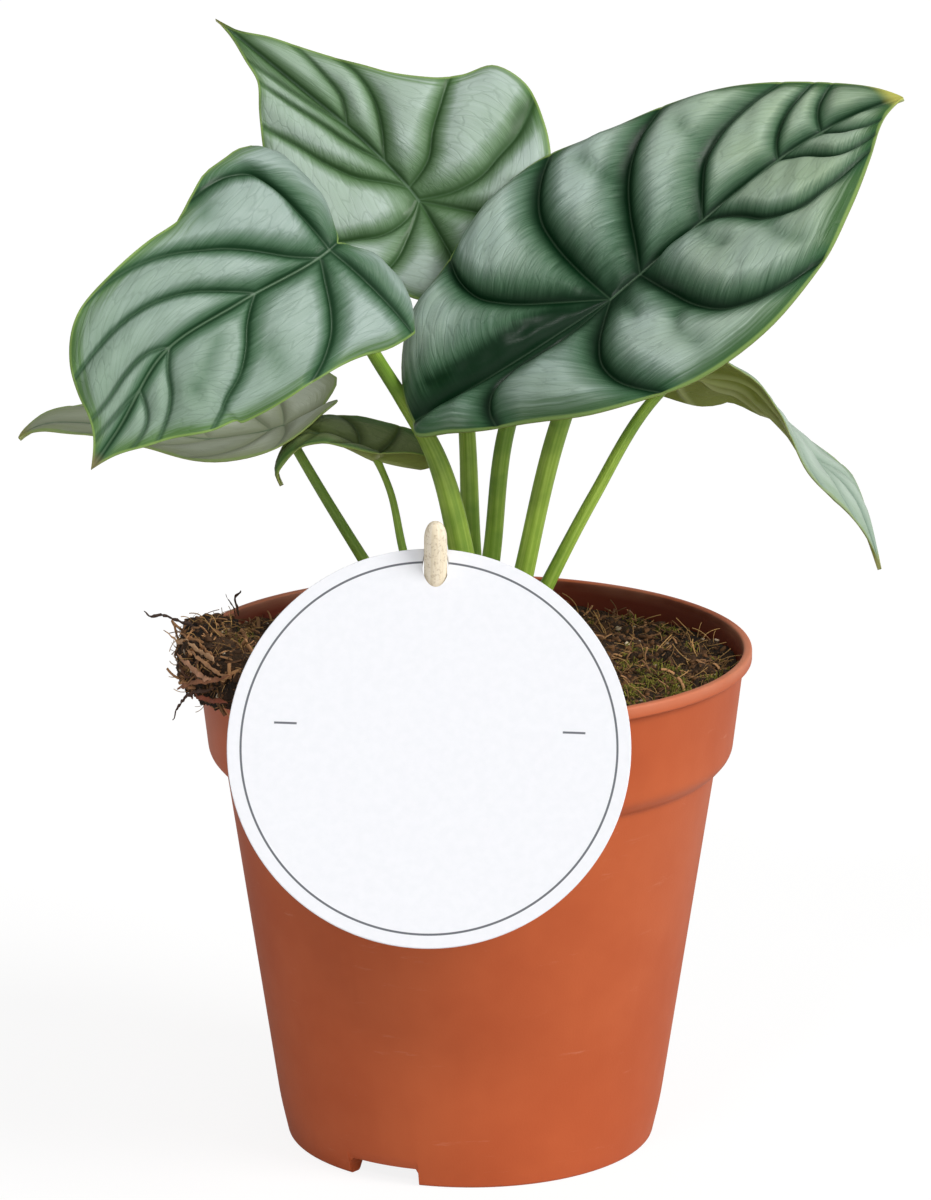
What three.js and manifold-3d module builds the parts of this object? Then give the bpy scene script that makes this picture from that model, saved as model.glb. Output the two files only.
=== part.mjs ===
// A young silver dragon alocasia in its nursery pot, with a round paper care tag on a wooden stick.
// Millimetres, +Z up. The origin is the middle of the pot's underside, and the pot's front faces -Y.
import * as THREE from "three";
import Module from "manifold-3d";
import { mergeVertices } from "three/addons/utils/BufferGeometryUtils.js";

const wasm = await Module();
wasm.setup();

// Driving sizes of the pot
const rimRadius = 60;
const potHeight = 108.6;
const lipHeight = 2.7;
const lipThickness = 1.7;
const collarFootRadius = 56.2;
const collarFootHeight = 89.5;
const creaseRadius = 52.5;
const creaseHeight = 83;
const footRadius = 39.8;
const footRingWidth = 3;
const heelRadius = 41.4;
const heelHeight = 8;
const wall = 1.1;
const floorHeight = 4;
const floorThickness = 1.2;
const bossRadius = 9;
const bossFloor = 1.3;
const potSegments = 60;
const notchHeight = 3.7;
const notchWidth = 16.5;
const notchAngles = [-118, 62];
const padHeight = 0.5;
const padRadius = 1.2;
const padCount = 8;
const firstPadAngle = 39.5;
const drainRadius = 3;
const drainCircle = 25;
const drainCount = 6;

// Driving sizes of the rest
const gap = 0.35;
const soilLevel = 104.5;
const soilRings = 9;
const soilSectors = 40;
const soilHeaps = {
  left: { height: 7, angle: 192, spread: 0.16 },
  front: { height: 3.2, angle: 268, spread: 0.45 },
  back: { height: -1.6, angle: 70, spread: 0.5 },
};
const tagRadius = 41;
const tagThickness = 0.7;
const tagCentre = [-8.5, -63.1, 103.8];
const tagLean = 25;
const tagTurn = 2;
const stickRadius = 2.35;
const stickLean = 12;
const stickAboveHole = 9.8;
const stickBelowHole = 64;
const holeUp = 37.6;
const stickPoint = 4;
const bladeThickness = 0.9;
const marginThickness = 0.7;
const stalkSides = 8;
const stalkSteps = 9;

const radians = THREE.MathUtils.degToRad;
const vector = (p) => new THREE.Vector3(...p);

// Materials
const finish = (color, roughness) => new THREE.MeshStandardMaterial({ color, roughness, metalness: 0 });
const potPlastic = finish(0xb8643f, 0.55);
const peat = finish(0x3b2a1c, 0.95);
const silverBlade = finish(0x8fa99b, 0.45);
const greenStalk = finish(0x7d9b36, 0.5);
const paper = finish(0xf2f4f8, 0.8);
const bamboo = finish(0xdcc39a, 0.7);

// Solids: from a geometry to a manifold and back
function solidFrom(geometry) {
  const bare = geometry.clone();
  bare.deleteAttribute("normal");
  bare.deleteAttribute("uv");
  const merged = mergeVertices(bare, 1e-4);
  return new wasm.Manifold(
    new wasm.Mesh({
      numProp: 3,
      vertProperties: merged.attributes.position.array,
      triVerts: new Uint32Array(merged.index.array),
    }),
  );
}

function geometryFrom(solid) {
  const mesh = solid.getMesh();
  const geometry = new THREE.BufferGeometry();
  geometry.setAttribute("position", new THREE.BufferAttribute(mesh.vertProperties, 3));
  geometry.setIndex(new THREE.BufferAttribute(mesh.triVerts, 1));
  return geometry;
}

function geometryOf(points, triangles) {
  const geometry = new THREE.BufferGeometry();
  const positions = points.flatMap((p) => [p.x, p.y, p.z]);
  geometry.setAttribute("position", new THREE.Float32BufferAttribute(positions, 3));
  geometry.setIndex(triangles);
  return geometry;
}

// A turned solid about +Z, from its profile of [radius, height] points, bottom first
function turned(profile, segments) {
  const points = profile.map(([r, z]) => new THREE.Vector2(r, z));
  return new THREE.LatheGeometry(points, segments).rotateX(Math.PI / 2);
}

// A smooth line through points of any dimension, by the length of its chords
function smoothLine(points) {
  const minus = (p, q) => p.map((v, i) => v - q[i]);
  const chords = points.slice(1).map((p, i) => Math.hypot(...minus(p, points[i])));
  const at = [0];
  chords.forEach((c) => at.push(at[at.length - 1] + c));
  const steps = chords.map((c, i) => minus(points[i + 1], points[i]).map((v) => v / c));
  const last = points.length - 1;
  const slopes = points.map((p, i) => {
    if (i === 0 || i === last) return null;
    const sum = chords[i - 1] + chords[i];
    return p.map((_, k) => (steps[i][k] * chords[i - 1] + steps[i - 1][k] * chords[i]) / sum);
  });
  slopes[0] = steps[0].map((v, k) => (last > 1 ? 1.5 * v - 0.5 * slopes[1][k] : v));
  slopes[last] = steps[last - 1].map((v, k) => (last > 1 ? 1.5 * v - 0.5 * slopes[last - 1][k] : v));
  const point = (s) => {
    if (s <= 0) return points[0].map((v, k) => v + slopes[0][k] * s);
    if (s >= at[last]) return points[last].map((v, k) => v + slopes[last][k] * (s - at[last]));
    let i = 0;
    while (at[i + 1] < s) i += 1;
    const c = chords[i];
    const u = (s - at[i]) / c;
    const uu = u * u;
    const uuu = uu * u;
    return points[i].map(
      (v, k) =>
        (2 * uuu - 3 * uu + 1) * v +
        (uuu - 2 * uu + u) * c * slopes[i][k] +
        (3 * uu - 2 * uuu) * points[i + 1][k] +
        (uuu - uu) * c * slopes[i + 1][k],
    );
  };
  return { point, at, length: at[last] };
}

const mix = (a, b, t) => a + (b - a) * t;
const clamp = (v, low, high) => Math.min(high, Math.max(low, v));

// Leaf blades. Each is drawn flat and then bent. In its own frame x runs along the midrib from the
// stalk (0) to the tip, and each side of the outline is a list of [x, distance from the midrib] that
// runs from the rear notch to the tip. heading is where the tip points and face where the upper side
// looks. spine is the midrib's line in that frame, [along, left, up], and rise is the angle at which
// each half stands up from the midrib, at the rear and at the tip. curl bends the halves, in degrees
// per millimetre, and twist turns the blade about its midrib, in degrees at each spine point.
// veins holds [start on the midrib, end on the left outline, end on the right outline], the ends as
// fractions of each outline's length.
const leaves = {
  front_right: {
    at: [29, -12, 186],
    heading: [0.82, 0.156, 0.548],
    face: [-0.4, -0.53, 0.75],
    spine: [[-50, 7, -3], [-25, 1, 0], [0, 0, 0], [37, -1, 1], [75, 3, -3]],
    stalkAt: 2,
    rise: { left: [12, 12], right: [10, 10] },
    curl: { left: -0.25, right: -0.35 },
    left: [
      [-49, 0], [-49, 6], [-46, 17], [-41, 25.5], [-30, 32], [-18, 37.5], [-6, 41.8], [4, 43.2],
      [16, 40.6], [36, 35], [52, 27.2], [67, 14], [73, 5], [75, 0],
    ],
    right: [
      [-49, 0], [-49, 4], [-41, 9.5], [-27.5, 19], [-16, 29.5], [-4, 34.5], [11, 37], [25, 36],
      [36, 31], [48, 21], [59, 11.5], [71, 1.5], [75, 0],
    ],
    veins: [
      [0, 0.28, 0.2], [0, 0.45, 0.41], [8, 0.62, 0.62], [27, 0.77, 0.75], [47, 0.87, 0.85],
      [58, 0.93, 0.92],
    ],
    puff: 2.2,
    wave: 0.6,
    waves: 3,
  },
  front_left: {
    at: [-29, -20, 198],
    heading: [-0.674, -0.536, -0.508],
    face: [0.296, -0.825, 0.479],
    spine: [
      [-7.4, 0, -15], [-6.9, 0, -8], [-5, 0, -2.8], [-2.2, 0, -0.3], [0, 0, 0], [24, -4, 2],
      [43, -6.5, 1], [61, -1, -3], [71, 1.5, -7],
    ],
    stalkAt: 4,
    rise: { left: [4, 4], right: [4, 4] },
    curl: { left: -0.5, right: -0.5 },
    left: [
      [-3, 0], [-10, 5], [-14, 13], [-11, 20], [-4, 24.5], [2, 24], [8, 22], [20, 21.8], [33, 22],
      [45, 20.5], [52.5, 17.8], [60, 8.8], [67, 2.4], [72, 0],
    ],
    right: [
      [-3, 0], [-10, 6], [-14, 15], [-11, 23], [-3, 27.5], [8, 28.3], [15, 27.5], [20, 24.5],
      [25, 21.2], [33, 20.3], [42, 19], [47, 18.8], [54, 15.5], [60, 10.5], [66, 3.6], [72, 0],
    ],
    veins: [[0, 0.34, 0.3], [4, 0.56, 0.5], [14, 0.72, 0.7], [27, 0.82, 0.82], [42, 0.91, 0.91]],
    puff: 2.2,
    wave: 0.8,
    waves: 3,
  },
  back: {
    at: [-11, 26, 199.5],
    heading: [-0.739, 0.442, 0.508],
    face: [-0.1, -0.8, 0.59],
    spine: [[-17, 6, -2], [-8.5, 3, 0], [0, 0, 0], [17, -2.5, 1], [38.5, -3.5, 0], [66, -5, -4]],
    stalkAt: 2,
    rise: { left: [6, 6], right: [14, 14] },
    curl: { left: -0.3, right: -0.5 },
    left: [
      [-18, 0], [-23, 6], [-19, 12], [-13, 16], [-6, 21.5], [10, 26], [23.5, 24], [33, 16.5],
      [40, 10.5], [46.5, 5.2], [53, 3], [60, 0.9], [66, 0],
    ],
    right: [
      [-18, 0], [-22, 8], [-17, 17.5], [-10, 26.5], [-1, 31.5], [6, 34], [11.5, 32], [14.5, 25],
      [18.5, 19.5], [24, 15], [31, 12], [42, 8], [52, 4.4], [60, 0.9], [66, 0],
    ],
    veins: [[0, 0.27, 0.3], [2, 0.5, 0.44], [7, 0.66, 0.57], [16, 0.76, 0.68], [27, 0.85, 0.8]],
    puff: 2,
    wave: 0.8,
    waves: 3,
  },
  low_left: {
    at: [-39.9, 11, 154],
    heading: [-0.99, 0.08, -0.04],
    face: [-0.1, -0.12, 0.98],
    spine: [
      [-10, -5, 3.7], [0, 0, 0], [12, 4, -1.2], [28, 6, 1], [42, 7, 4], [51, 7.7, 4],
      [55, 8.2, 2.2], [58, 9.8, -0.3],
    ],
    stalkAt: 1,
    rise: { left: [4, -10], right: [30, 12] },
    curl: { left: -0.4, right: -0.2 },
    left: [
      [-10, 0], [-12, 4], [-6, 8], [2, 10.5], [11, 11], [20, 10.5], [30, 7.5], [40, 5], [50, 3],
      [58, 0],
    ],
    right: [[-10, 0], [-16, 5], [-12.5, 12], [3, 17], [17, 17], [31, 13], [43, 7], [52, 3.5], [58, 0]],
    veins: [[0, 0.3, 0.3], [3, 0.52, 0.52], [16, 0.7, 0.7], [32, 0.85, 0.85]],
    puff: 1.4,
    wave: 0.5,
    waves: 2,
  },
  small_arching: {
    at: [-20, 3.6, 149],
    heading: [-0.95, 0, 0.25],
    face: [0.2, -0.2, 0.95],
    spine: [
      [-11, 2, 0.5], [0, 0, 0], [7, -1.2, 0.8], [13, -1.3, 1.2], [17, 0, -0.2], [20, 2, -4.8],
      [20.2, 3.7, -8.1], [18.5, 4.5, -10.5],
    ],
    stalkAt: 1,
    rise: { left: [60, -30], right: [45, -20] },
    curl: { left: -1, right: -1 },
    left: [[-10, 0], [-13, 3], [-9, 6], [0, 7.5], [9, 7.5], [17, 5.5], [23, 3.2], [28, 1.3], [30.5, 0]],
    right: [[-10, 0], [-13, 4], [-9, 8], [0, 10], [9, 9.5], [17, 6.3], [23, 3.2], [28, 1.3], [30.5, 0]],
    veins: [[0, 0.34, 0.34], [4, 0.58, 0.58], [13, 0.78, 0.78]],
    puff: 0.8,
    wave: 0.5,
    waves: 2,
  },
  drooping_right: {
    at: [45.2, 13, 165.9],
    heading: [0.85, 0, -0.35],
    face: [0.35, 0.4, 0.85],
    spine: [
      [-8, -2.2, -0.2], [0, 0, 0], [7.3, -0.2, 0.3], [13, -0.5, 1], [21.2, 0, -1.7],
      [33.5, 1.8, -7.1], [42, 2.5, -10.3], [54.6, 6.3, -21],
    ],
    stalkAt: 1,
    twist: [0, 0, -8, -19, -27, -45, -57, -57],
    rise: { left: [-16, -16], right: [16, 16] },
    curl: { left: -0.75, right: -0.12 },
    left: [
      [-9, 0], [-12, 6], [-7, 11], [3, 13], [16, 13.5], [30, 12], [42, 8.5], [52, 4.5], [60, 1],
      [64, 0],
    ],
    right: [[-9, 0], [-12, 6], [-7, 11], [3, 13], [16, 13], [30, 11], [42, 7.5], [52, 4], [60, 1], [64, 0]],
    veins: [[0, 0.3, 0.3], [4, 0.54, 0.54], [18, 0.72, 0.72], [34, 0.86, 0.86]],
    puff: 1.4,
    wave: 0.6,
    waves: 2,
  },
  hidden_back_right: {
    at: [17, 7, 179],
    heading: [0.8, 0.25, 0.55],
    face: [-0.35, -0.5, 0.8],
    spine: [[-16, 0, -2], [-8, 0, 0], [0, 0, 0], [18, 0, 1], [40, 1, -1]],
    stalkAt: 2,
    rise: { left: [16, 16], right: [16, 16] },
    curl: { left: -0.5, right: -0.5 },
    left: [[-14, 0], [-17, 5], [-13, 11], [-4, 16], [8, 17.5], [20, 14], [30, 8], [37, 2.5], [41, 0]],
    right: [[-14, 0], [-17, 5], [-13, 11], [-4, 16], [8, 17], [20, 13.5], [30, 7.5], [37, 2.5], [41, 0]],
    veins: [[0, 0.3, 0.3], [2, 0.52, 0.52], [12, 0.7, 0.7], [24, 0.85, 0.85]],
    puff: 1.4,
    wave: 0.5,
    waves: 2,
  },
};

// The leaf's own axes: heading, left and face, at right angles
function leafAxes(leaf) {
  const heading = vector(leaf.heading).normalize();
  const face = vector(leaf.face);
  face.addScaledVector(heading, -face.dot(heading)).normalize();
  const left = new THREE.Vector3().crossVectors(face, heading);
  return { heading, left, face };
}

// A function that takes a point of the flat blade and a height above it to its place on the plant
function bladeBend(leaf) {
  const { heading, left, face } = leafAxes(leaf);
  const spine = smoothLine(leaf.spine);
  const root = spine.at[leaf.stalkAt];
  const twist = leaf.twist ?? leaf.spine.map(() => 0);
  const twistAt = (s) => {
    let i = 0;
    while (i < twist.length - 2 && spine.at[i + 1] < s) i += 1;
    const u = clamp((s - spine.at[i]) / (spine.at[i + 1] - spine.at[i]), 0, 1);
    return radians(mix(twist[i], twist[i + 1], u));
  };
  return (x, y, height) => {
    const s = root + x;
    const along = vector(spine.point(s + 0.5)).sub(vector(spine.point(s - 0.5))).normalize();
    const up = new THREE.Vector3().crossVectors(along, new THREE.Vector3(0, 1, 0)).normalize();
    const angle = twistAt(s);
    up.applyAxisAngle(along, -angle);
    const across = new THREE.Vector3().crossVectors(up, along);
    const side = y < 0 ? "right" : "left";
    const sign = y < 0 ? -1 : 1;
    const width = Math.abs(y);
    const start = radians(mix(...leaf.rise[side], clamp(s / spine.length, 0, 1)));
    const curl = radians(leaf.curl[side]);
    const end = start + curl * width;
    const out = (Math.sin(end) - Math.sin(start)) / curl;
    const lift = (Math.cos(start) - Math.cos(end)) / curl;
    const normal = up.clone().multiplyScalar(Math.cos(end)).addScaledVector(across, -sign * Math.sin(end));
    const local = vector(spine.point(s))
      .addScaledVector(across, sign * out)
      .addScaledVector(up, lift)
      .addScaledVector(normal, height);
    return vector(leaf.at)
      .addScaledVector(heading, local.x)
      .addScaledVector(left, local.y)
      .addScaledVector(face, local.z);
  };
}

const panelColumns = 3;
const bladeRows = [0, 0.14, 0.42, 0.7, 0.9, 1];
const veinBow = 0.12;
const fullPanel = 0.13; // the share of the outline from which a panel swells fully
const leastSwell = 0.35;
const swellShape = 0.6;
const rightWaveShift = 0.35;
const leastWidth = 0.05;

// The columns of a blade's net: one for the rear seam, one for each vein and some between, and the tip
function bladeColumns(leaf) {
  const tip = leaf.left[leaf.left.length - 1][0];
  const stops = [[0, 0, 0], ...leaf.veins, [tip, 1, 1]];
  const columns = [];
  stops.slice(1).forEach((stop, k) => {
    const before = stops[k];
    const widest = Math.max(stop[1] - before[1], stop[2] - before[2]);
    const swell = clamp(widest / fullPanel, leastSwell, 1);
    for (let n = 0; n < panelColumns; n += 1) {
      const across = n / panelColumns;
      const [start, left, right] = before.map((v, i) => mix(v, stop[i], across));
      columns.push({ start, ends: { left, right }, across, swell });
    }
  });
  columns.push({ start: tip, ends: { left: 1, right: 1 }, across: 0, swell: 0 });
  return columns;
}

// A flat point of the blade: row runs from the midrib (0) to the margin (1). The veins bow rearwards,
// all but those next to the rear notch.
function flatPoint(column, side, row, outline) {
  const [endX, endY] = outline.point(outline.length * column.ends[side]);
  const spreadX = endX - column.start;
  const bow = veinBow * 4 * row * (1 - row) * clamp(column.ends[side] / fullPanel, 0, 1);
  return [column.start + spreadX * row - endY * bow, endY * row + spreadX * bow * 0.4];
}

// The blade swells between its veins, and its margin waves
function bladeHeight(leaf, column, side, row) {
  const end = column.ends[side];
  const pillow = Math.pow(4 * column.across * (1 - column.across), swellShape);
  const reach = Math.pow(Math.max(0, Math.sin(Math.PI * Math.pow(row, 0.8))), swellShape);
  const phase = side === "left" ? 0 : rightWaveShift;
  const wave = leaf.wave * Math.sin(2 * Math.PI * (leaf.waves * end + phase)) * row ** 3;
  return leaf.puff * column.swell * pillow * reach + wave * clamp(end * (1 - end) * 8, 0, 1);
}

function bladeGeometry(leaf) {
  const bend = bladeBend(leaf);
  const columns = bladeColumns(leaf);
  const points = [];
  const under = [];
  const place = (x, y, height, row) => {
    points.push(bend(x, y, height));
    under.push(bend(x, y, height - mix(bladeThickness, marginThickness, row)));
    return points.length - 1;
  };
  const lastRow = bladeRows.length - 1;
  const nets = {};
  const middle = columns.map(() => -1);
  columns.forEach((column, j) => {
    const shared = j > 0 && Math.abs(columns[j - 1].start - column.start) < 1e-9;
    middle[j] = shared ? middle[j - 1] : place(column.start, 0, 0, 0);
  });
  let seam = null;
  for (const side of ["left", "right"]) {
    const outline = smoothLine(leaf[side]);
    const sign = side === "left" ? 1 : -1;
    nets[side] = columns.map((column, j) => {
      if (j === 0 && seam) return seam;
      if (j === columns.length - 1) return bladeRows.map(() => middle[j]);
      return bladeRows.map((row, i) => {
        if (i === 0) return middle[j];
        const [x, y] = flatPoint(column, side, row, outline);
        if (j === 0) return place(x, 0, 0, row);
        return place(x, sign * Math.max(y, leastWidth), bladeHeight(leaf, column, side, row), row);
      });
    });
    seam = nets[side][0];
  }
  const triangles = [];
  const count = points.length;
  const add = (a, b, c) => {
    if (a === b || b === c || a === c) return;
    triangles.push(a, b, c, a + count, c + count, b + count);
  };
  const rim = [];
  for (const side of ["left", "right"]) {
    const net = nets[side];
    const flip = side === "right";
    for (let j = 0; j + 1 < net.length; j += 1) {
      for (let i = 0; i < lastRow; i += 1) {
        const [a, b, c, d] = [net[j][i], net[j + 1][i], net[j + 1][i + 1], net[j][i + 1]];
        if (flip) {
          add(a, c, b);
          add(a, d, c);
        } else {
          add(a, b, c);
          add(a, c, d);
        }
      }
      const edge = [net[j][lastRow], net[j + 1][lastRow]];
      rim.push(flip ? edge.reverse() : edge);
    }
  }
  for (const [a, b] of rim) {
    if (a === b) continue;
    triangles.push(a, b, b + count, a, b + count, a + count);
  }
  return geometryOf([...points, ...under], triangles);
}

// Leaf stalks: points of [x, y, z, radius] from the crown to just under the blade
const stalkTopGap = 0.7;
const stalks = {
  front_right: [[6, -5.5, 84, 2.5], [6.5, -5.5, 101, 2.7], [11.5, -6, 127, 2.2], [19, -8, 159.4, 2.1]],
  front_left: [
    [-0.5, -5, 84, 2.5], [-0.5, -5, 101, 2.8], [-2.3, -5.5, 132, 2.7], [-8.7, -4.5, 153.6, 2],
    [-14, -5, 162.6, 1.6], [-21.5, -9, 176, 1.4],
  ],
  back: [
    [1.5, 6.5, 84, 2.4], [1.5, 6.5, 101, 2.6], [0.1, 8, 127.6, 2.2], [-0.8, 12, 152.5, 1.8],
    [-3, 19, 176, 1.6],
  ],
  low_left: [[-7, 3, 84, 1.8], [-7.3, 3, 101, 1.9], [-23.5, 6, 126.6, 1.25], [-32, 8.6, 140.2, 1.1]],
  small_arching: [
    [-7.5, -4, 84, 1.3], [-7.6, -4, 101, 1.4], [-14.6, -2, 130.8, 0.9], [-17.2, 1, 142.2, 0.75],
  ],
  drooping_right: [
    [7, 2.2, 84, 2.1], [7, 2.2, 101, 2.2], [16.6, 5, 120.8, 1.6], [26.3, 8, 139, 1.4],
    [38.4, 11, 158.8, 1.2],
  ],
  hidden_back_right: [[1, 0.7, 84, 2.3], [1, 0.7, 101, 2.5], [4.5, 2, 128, 2], [7.9, 4, 155.6, 1.8]],
};

// The rings of a stalk, which ends in the plane of its blade's underside
function stalkRings(name, grow) {
  const leaf = leaves[name];
  const { face } = leafAxes(leaf);
  const drop = bladeThickness + stalkTopGap;
  const top = vector(leaf.at).addScaledVector(face, -drop);
  const path = stalks[name];
  const topRadius = path[path.length - 1][3] * 0.9;
  const line = smoothLine([...path, [top.x, top.y, top.z, topRadius]]);
  const rings = [];
  let side = new THREE.Vector3(1, 0, 0);
  for (let n = 0; n <= stalkSteps; n += 1) {
    const s = (line.length * n) / stalkSteps;
    const [x, y, z, radius] = line.point(s);
    const centre = new THREE.Vector3(x, y, z);
    const ahead = vector(line.point(s + 0.5).slice(0, 3));
    const along = ahead.sub(vector(line.point(s - 0.5).slice(0, 3))).normalize();
    side = side.addScaledVector(along, -side.dot(along)).normalize().clone();
    const other = new THREE.Vector3().crossVectors(along, side);
    const ring = [];
    for (let k = 0; k < stalkSides; k += 1) {
      const turn = (2 * Math.PI * (k + 0.5)) / stalkSides;
      const point = centre
        .clone()
        .addScaledVector(along, n === 0 ? -grow : 0)
        .addScaledVector(side, (radius + grow) * Math.cos(turn))
        .addScaledVector(other, (radius + grow) * Math.sin(turn));
      if (n === stalkSteps) {
        const over = point.clone().sub(top).dot(face);
        point.addScaledVector(along, -over / along.dot(face));
      }
      ring.push(point);
    }
    rings.push(ring);
  }
  return rings;
}

// A closed rod from rings of points, each end closed by the triangles of cap
function rodGeometry(rings, cap) {
  const sides = rings[0].length;
  const points = rings.flat();
  const triangles = [];
  for (let n = 0; n + 1 < rings.length; n += 1) {
    for (let k = 0; k < sides; k += 1) {
      const a = n * sides + k;
      const b = n * sides + ((k + 1) % sides);
      triangles.push(a, b, b + sides, a, b + sides, a + sides);
    }
  }
  const last = (rings.length - 1) * sides;
  for (const [a, b, c] of cap) {
    triangles.push(a, c, b);
    triangles.push(last + a, last + b, last + c);
  }
  return geometryOf(points, triangles);
}

const roundCap = Array.from({ length: stalkSides - 2 }, (_, k) => [0, k + 1, k + 2]);

// Pot. Its foot ring stands on small pads, and a notch at the front and one behind drain it.
const lipFoot = potHeight - lipHeight;
const collarTopRadius = rimRadius - lipThickness;
const floorTop = floorHeight + floorThickness;
const innerRimRadius = rimRadius - 1.9;
const innerRimHeight = potHeight - 0.8;
const innerHeelHeight = heelHeight + 0.5;
const innerCreaseHeight = creaseHeight + 1;
const innerFloorRadius = footRadius - 2.5;
const potProfile = [
  [0, 0],
  [bossRadius - 1, 0],
  [bossRadius, floorHeight],
  [footRadius - footRingWidth - 2, floorHeight],
  [footRadius - footRingWidth, padHeight + 0.6],
  [footRadius - footRingWidth + 0.8, padHeight],
  [footRadius - 0.6, padHeight],
  [footRadius + 0.3, padHeight + 0.9],
  [heelRadius, heelHeight],
  [creaseRadius, creaseHeight],
  [creaseRadius + 2.2, creaseHeight + 1.6],
  [collarFootRadius, collarFootHeight - 1.6],
  [collarTopRadius, lipFoot - 0.3],
  [rimRadius - 0.5, lipFoot],
  [rimRadius, lipFoot + 0.5],
  [rimRadius, potHeight - 0.7],
  [rimRadius - 0.6, potHeight],
  [rimRadius - 1.3, potHeight],
  [innerRimRadius, innerRimHeight],
  [collarFootRadius - wall, collarFootHeight],
  [creaseRadius - wall, innerCreaseHeight],
  [heelRadius - wall, innerHeelHeight],
  [innerFloorRadius, floorTop],
  [bossRadius + 1, floorTop],
  [bossRadius - 0.6, bossFloor],
  [0, bossFloor],
];

// A notch is a little wider at its foot. Its right upper corner is round and its left one is not.
function notchSolid(angle) {
  const half = notchWidth / 2;
  const flare = 0.4;
  const rounding = 1.6;
  const chamfer = 0.5;
  const reachIn = 5.6;
  const reachOut = 3.4;
  const outline = new THREE.Shape();
  outline.moveTo(-half - flare, -1);
  outline.lineTo(half + flare, -1);
  outline.lineTo(half, notchHeight - rounding);
  outline.quadraticCurveTo(half, notchHeight, half - rounding, notchHeight);
  outline.lineTo(-half + chamfer, notchHeight);
  outline.lineTo(-half, notchHeight - chamfer);
  const depth = reachIn + reachOut;
  const block = new THREE.ExtrudeGeometry(outline, { depth, bevelEnabled: false, curveSegments: 3 });
  block.rotateX(Math.PI / 2).translate(0, footRadius + reachOut, 0);
  block.rotateZ(radians(angle - 90));
  return solidFrom(block);
}

// A pad is a low cone under the foot ring
function padSolid(angle) {
  const root = 0.3;
  const cone = turned(
    [
      [0, 0],
      [padRadius, padHeight],
      [padRadius, padHeight + root],
      [0, padHeight + root],
    ],
    12,
  );
  const middle = footRadius - footRingWidth / 2;
  cone.translate(middle * Math.cos(radians(angle)), middle * Math.sin(radians(angle)), 0);
  return solidFrom(cone);
}

function drainSolid(angle) {
  const turn = radians(angle);
  const middle = floorHeight + floorThickness / 2;
  const hole = new THREE.CylinderGeometry(drainRadius, drainRadius, 3 * floorThickness, 12);
  hole.rotateX(Math.PI / 2);
  hole.translate(drainCircle * Math.cos(turn), drainCircle * Math.sin(turn), middle);
  return solidFrom(hole);
}

function potGeometry() {
  let pot = solidFrom(turned(potProfile, potSegments));
  for (const angle of notchAngles) pot = pot.subtract(notchSolid(angle));
  for (let n = 0; n < padCount; n += 1) pot = pot.add(padSolid(firstPadAngle + (360 * n) / padCount));
  for (let n = 0; n < drainCount; n += 1) pot = pot.subtract(drainSolid((360 * (n + 0.5)) / drainCount));
  return geometryFrom(pot);
}

// Soil: peat inside the pot, heaped to the left, with a clump that hangs over the rim there
const crownHeight = 1.5;
const crownRadius = 22;
const heapStart = 18;
const heapWidth = 36;
const roughHeight = 0.6;
const edgeLevel = 99; // where the soil's side ends and its rough top may begin
const clumpStart = 226.2;
const clumpEnd = 166.7;
const clumpSteps = 12;
const clumpReach = 9; // how far it reaches inwards from the rim
const clumpInnerFoot = 101;

function roughness(x, y) {
  return (
    Math.sin(x * 0.31 + 1.3) * Math.cos(y * 0.27 - 0.6) +
    0.6 * Math.sin(x * 0.73 + y * 0.51) +
    0.4 * Math.cos(x * 0.45 - y * 1.1 + 2)
  );
}

// How far the soil stands above its level at a place
function soilHeap(x, y) {
  const r = Math.hypot(x, y);
  let height = crownHeight * Math.exp(-((r / crownRadius) ** 2));
  for (const heap of Object.values(soilHeaps)) {
    const turn = Math.atan2(y, x) - radians(heap.angle);
    const spread = Math.exp((Math.cos(turn) - 1) / heap.spread);
    height += heap.height * spread * clamp((r - heapStart) / heapWidth, 0, 1);
  }
  return height;
}

function soilTopAt(x, y) {
  return soilLevel + soilHeap(x, y) + roughHeight * roughness(x, y);
}

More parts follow.
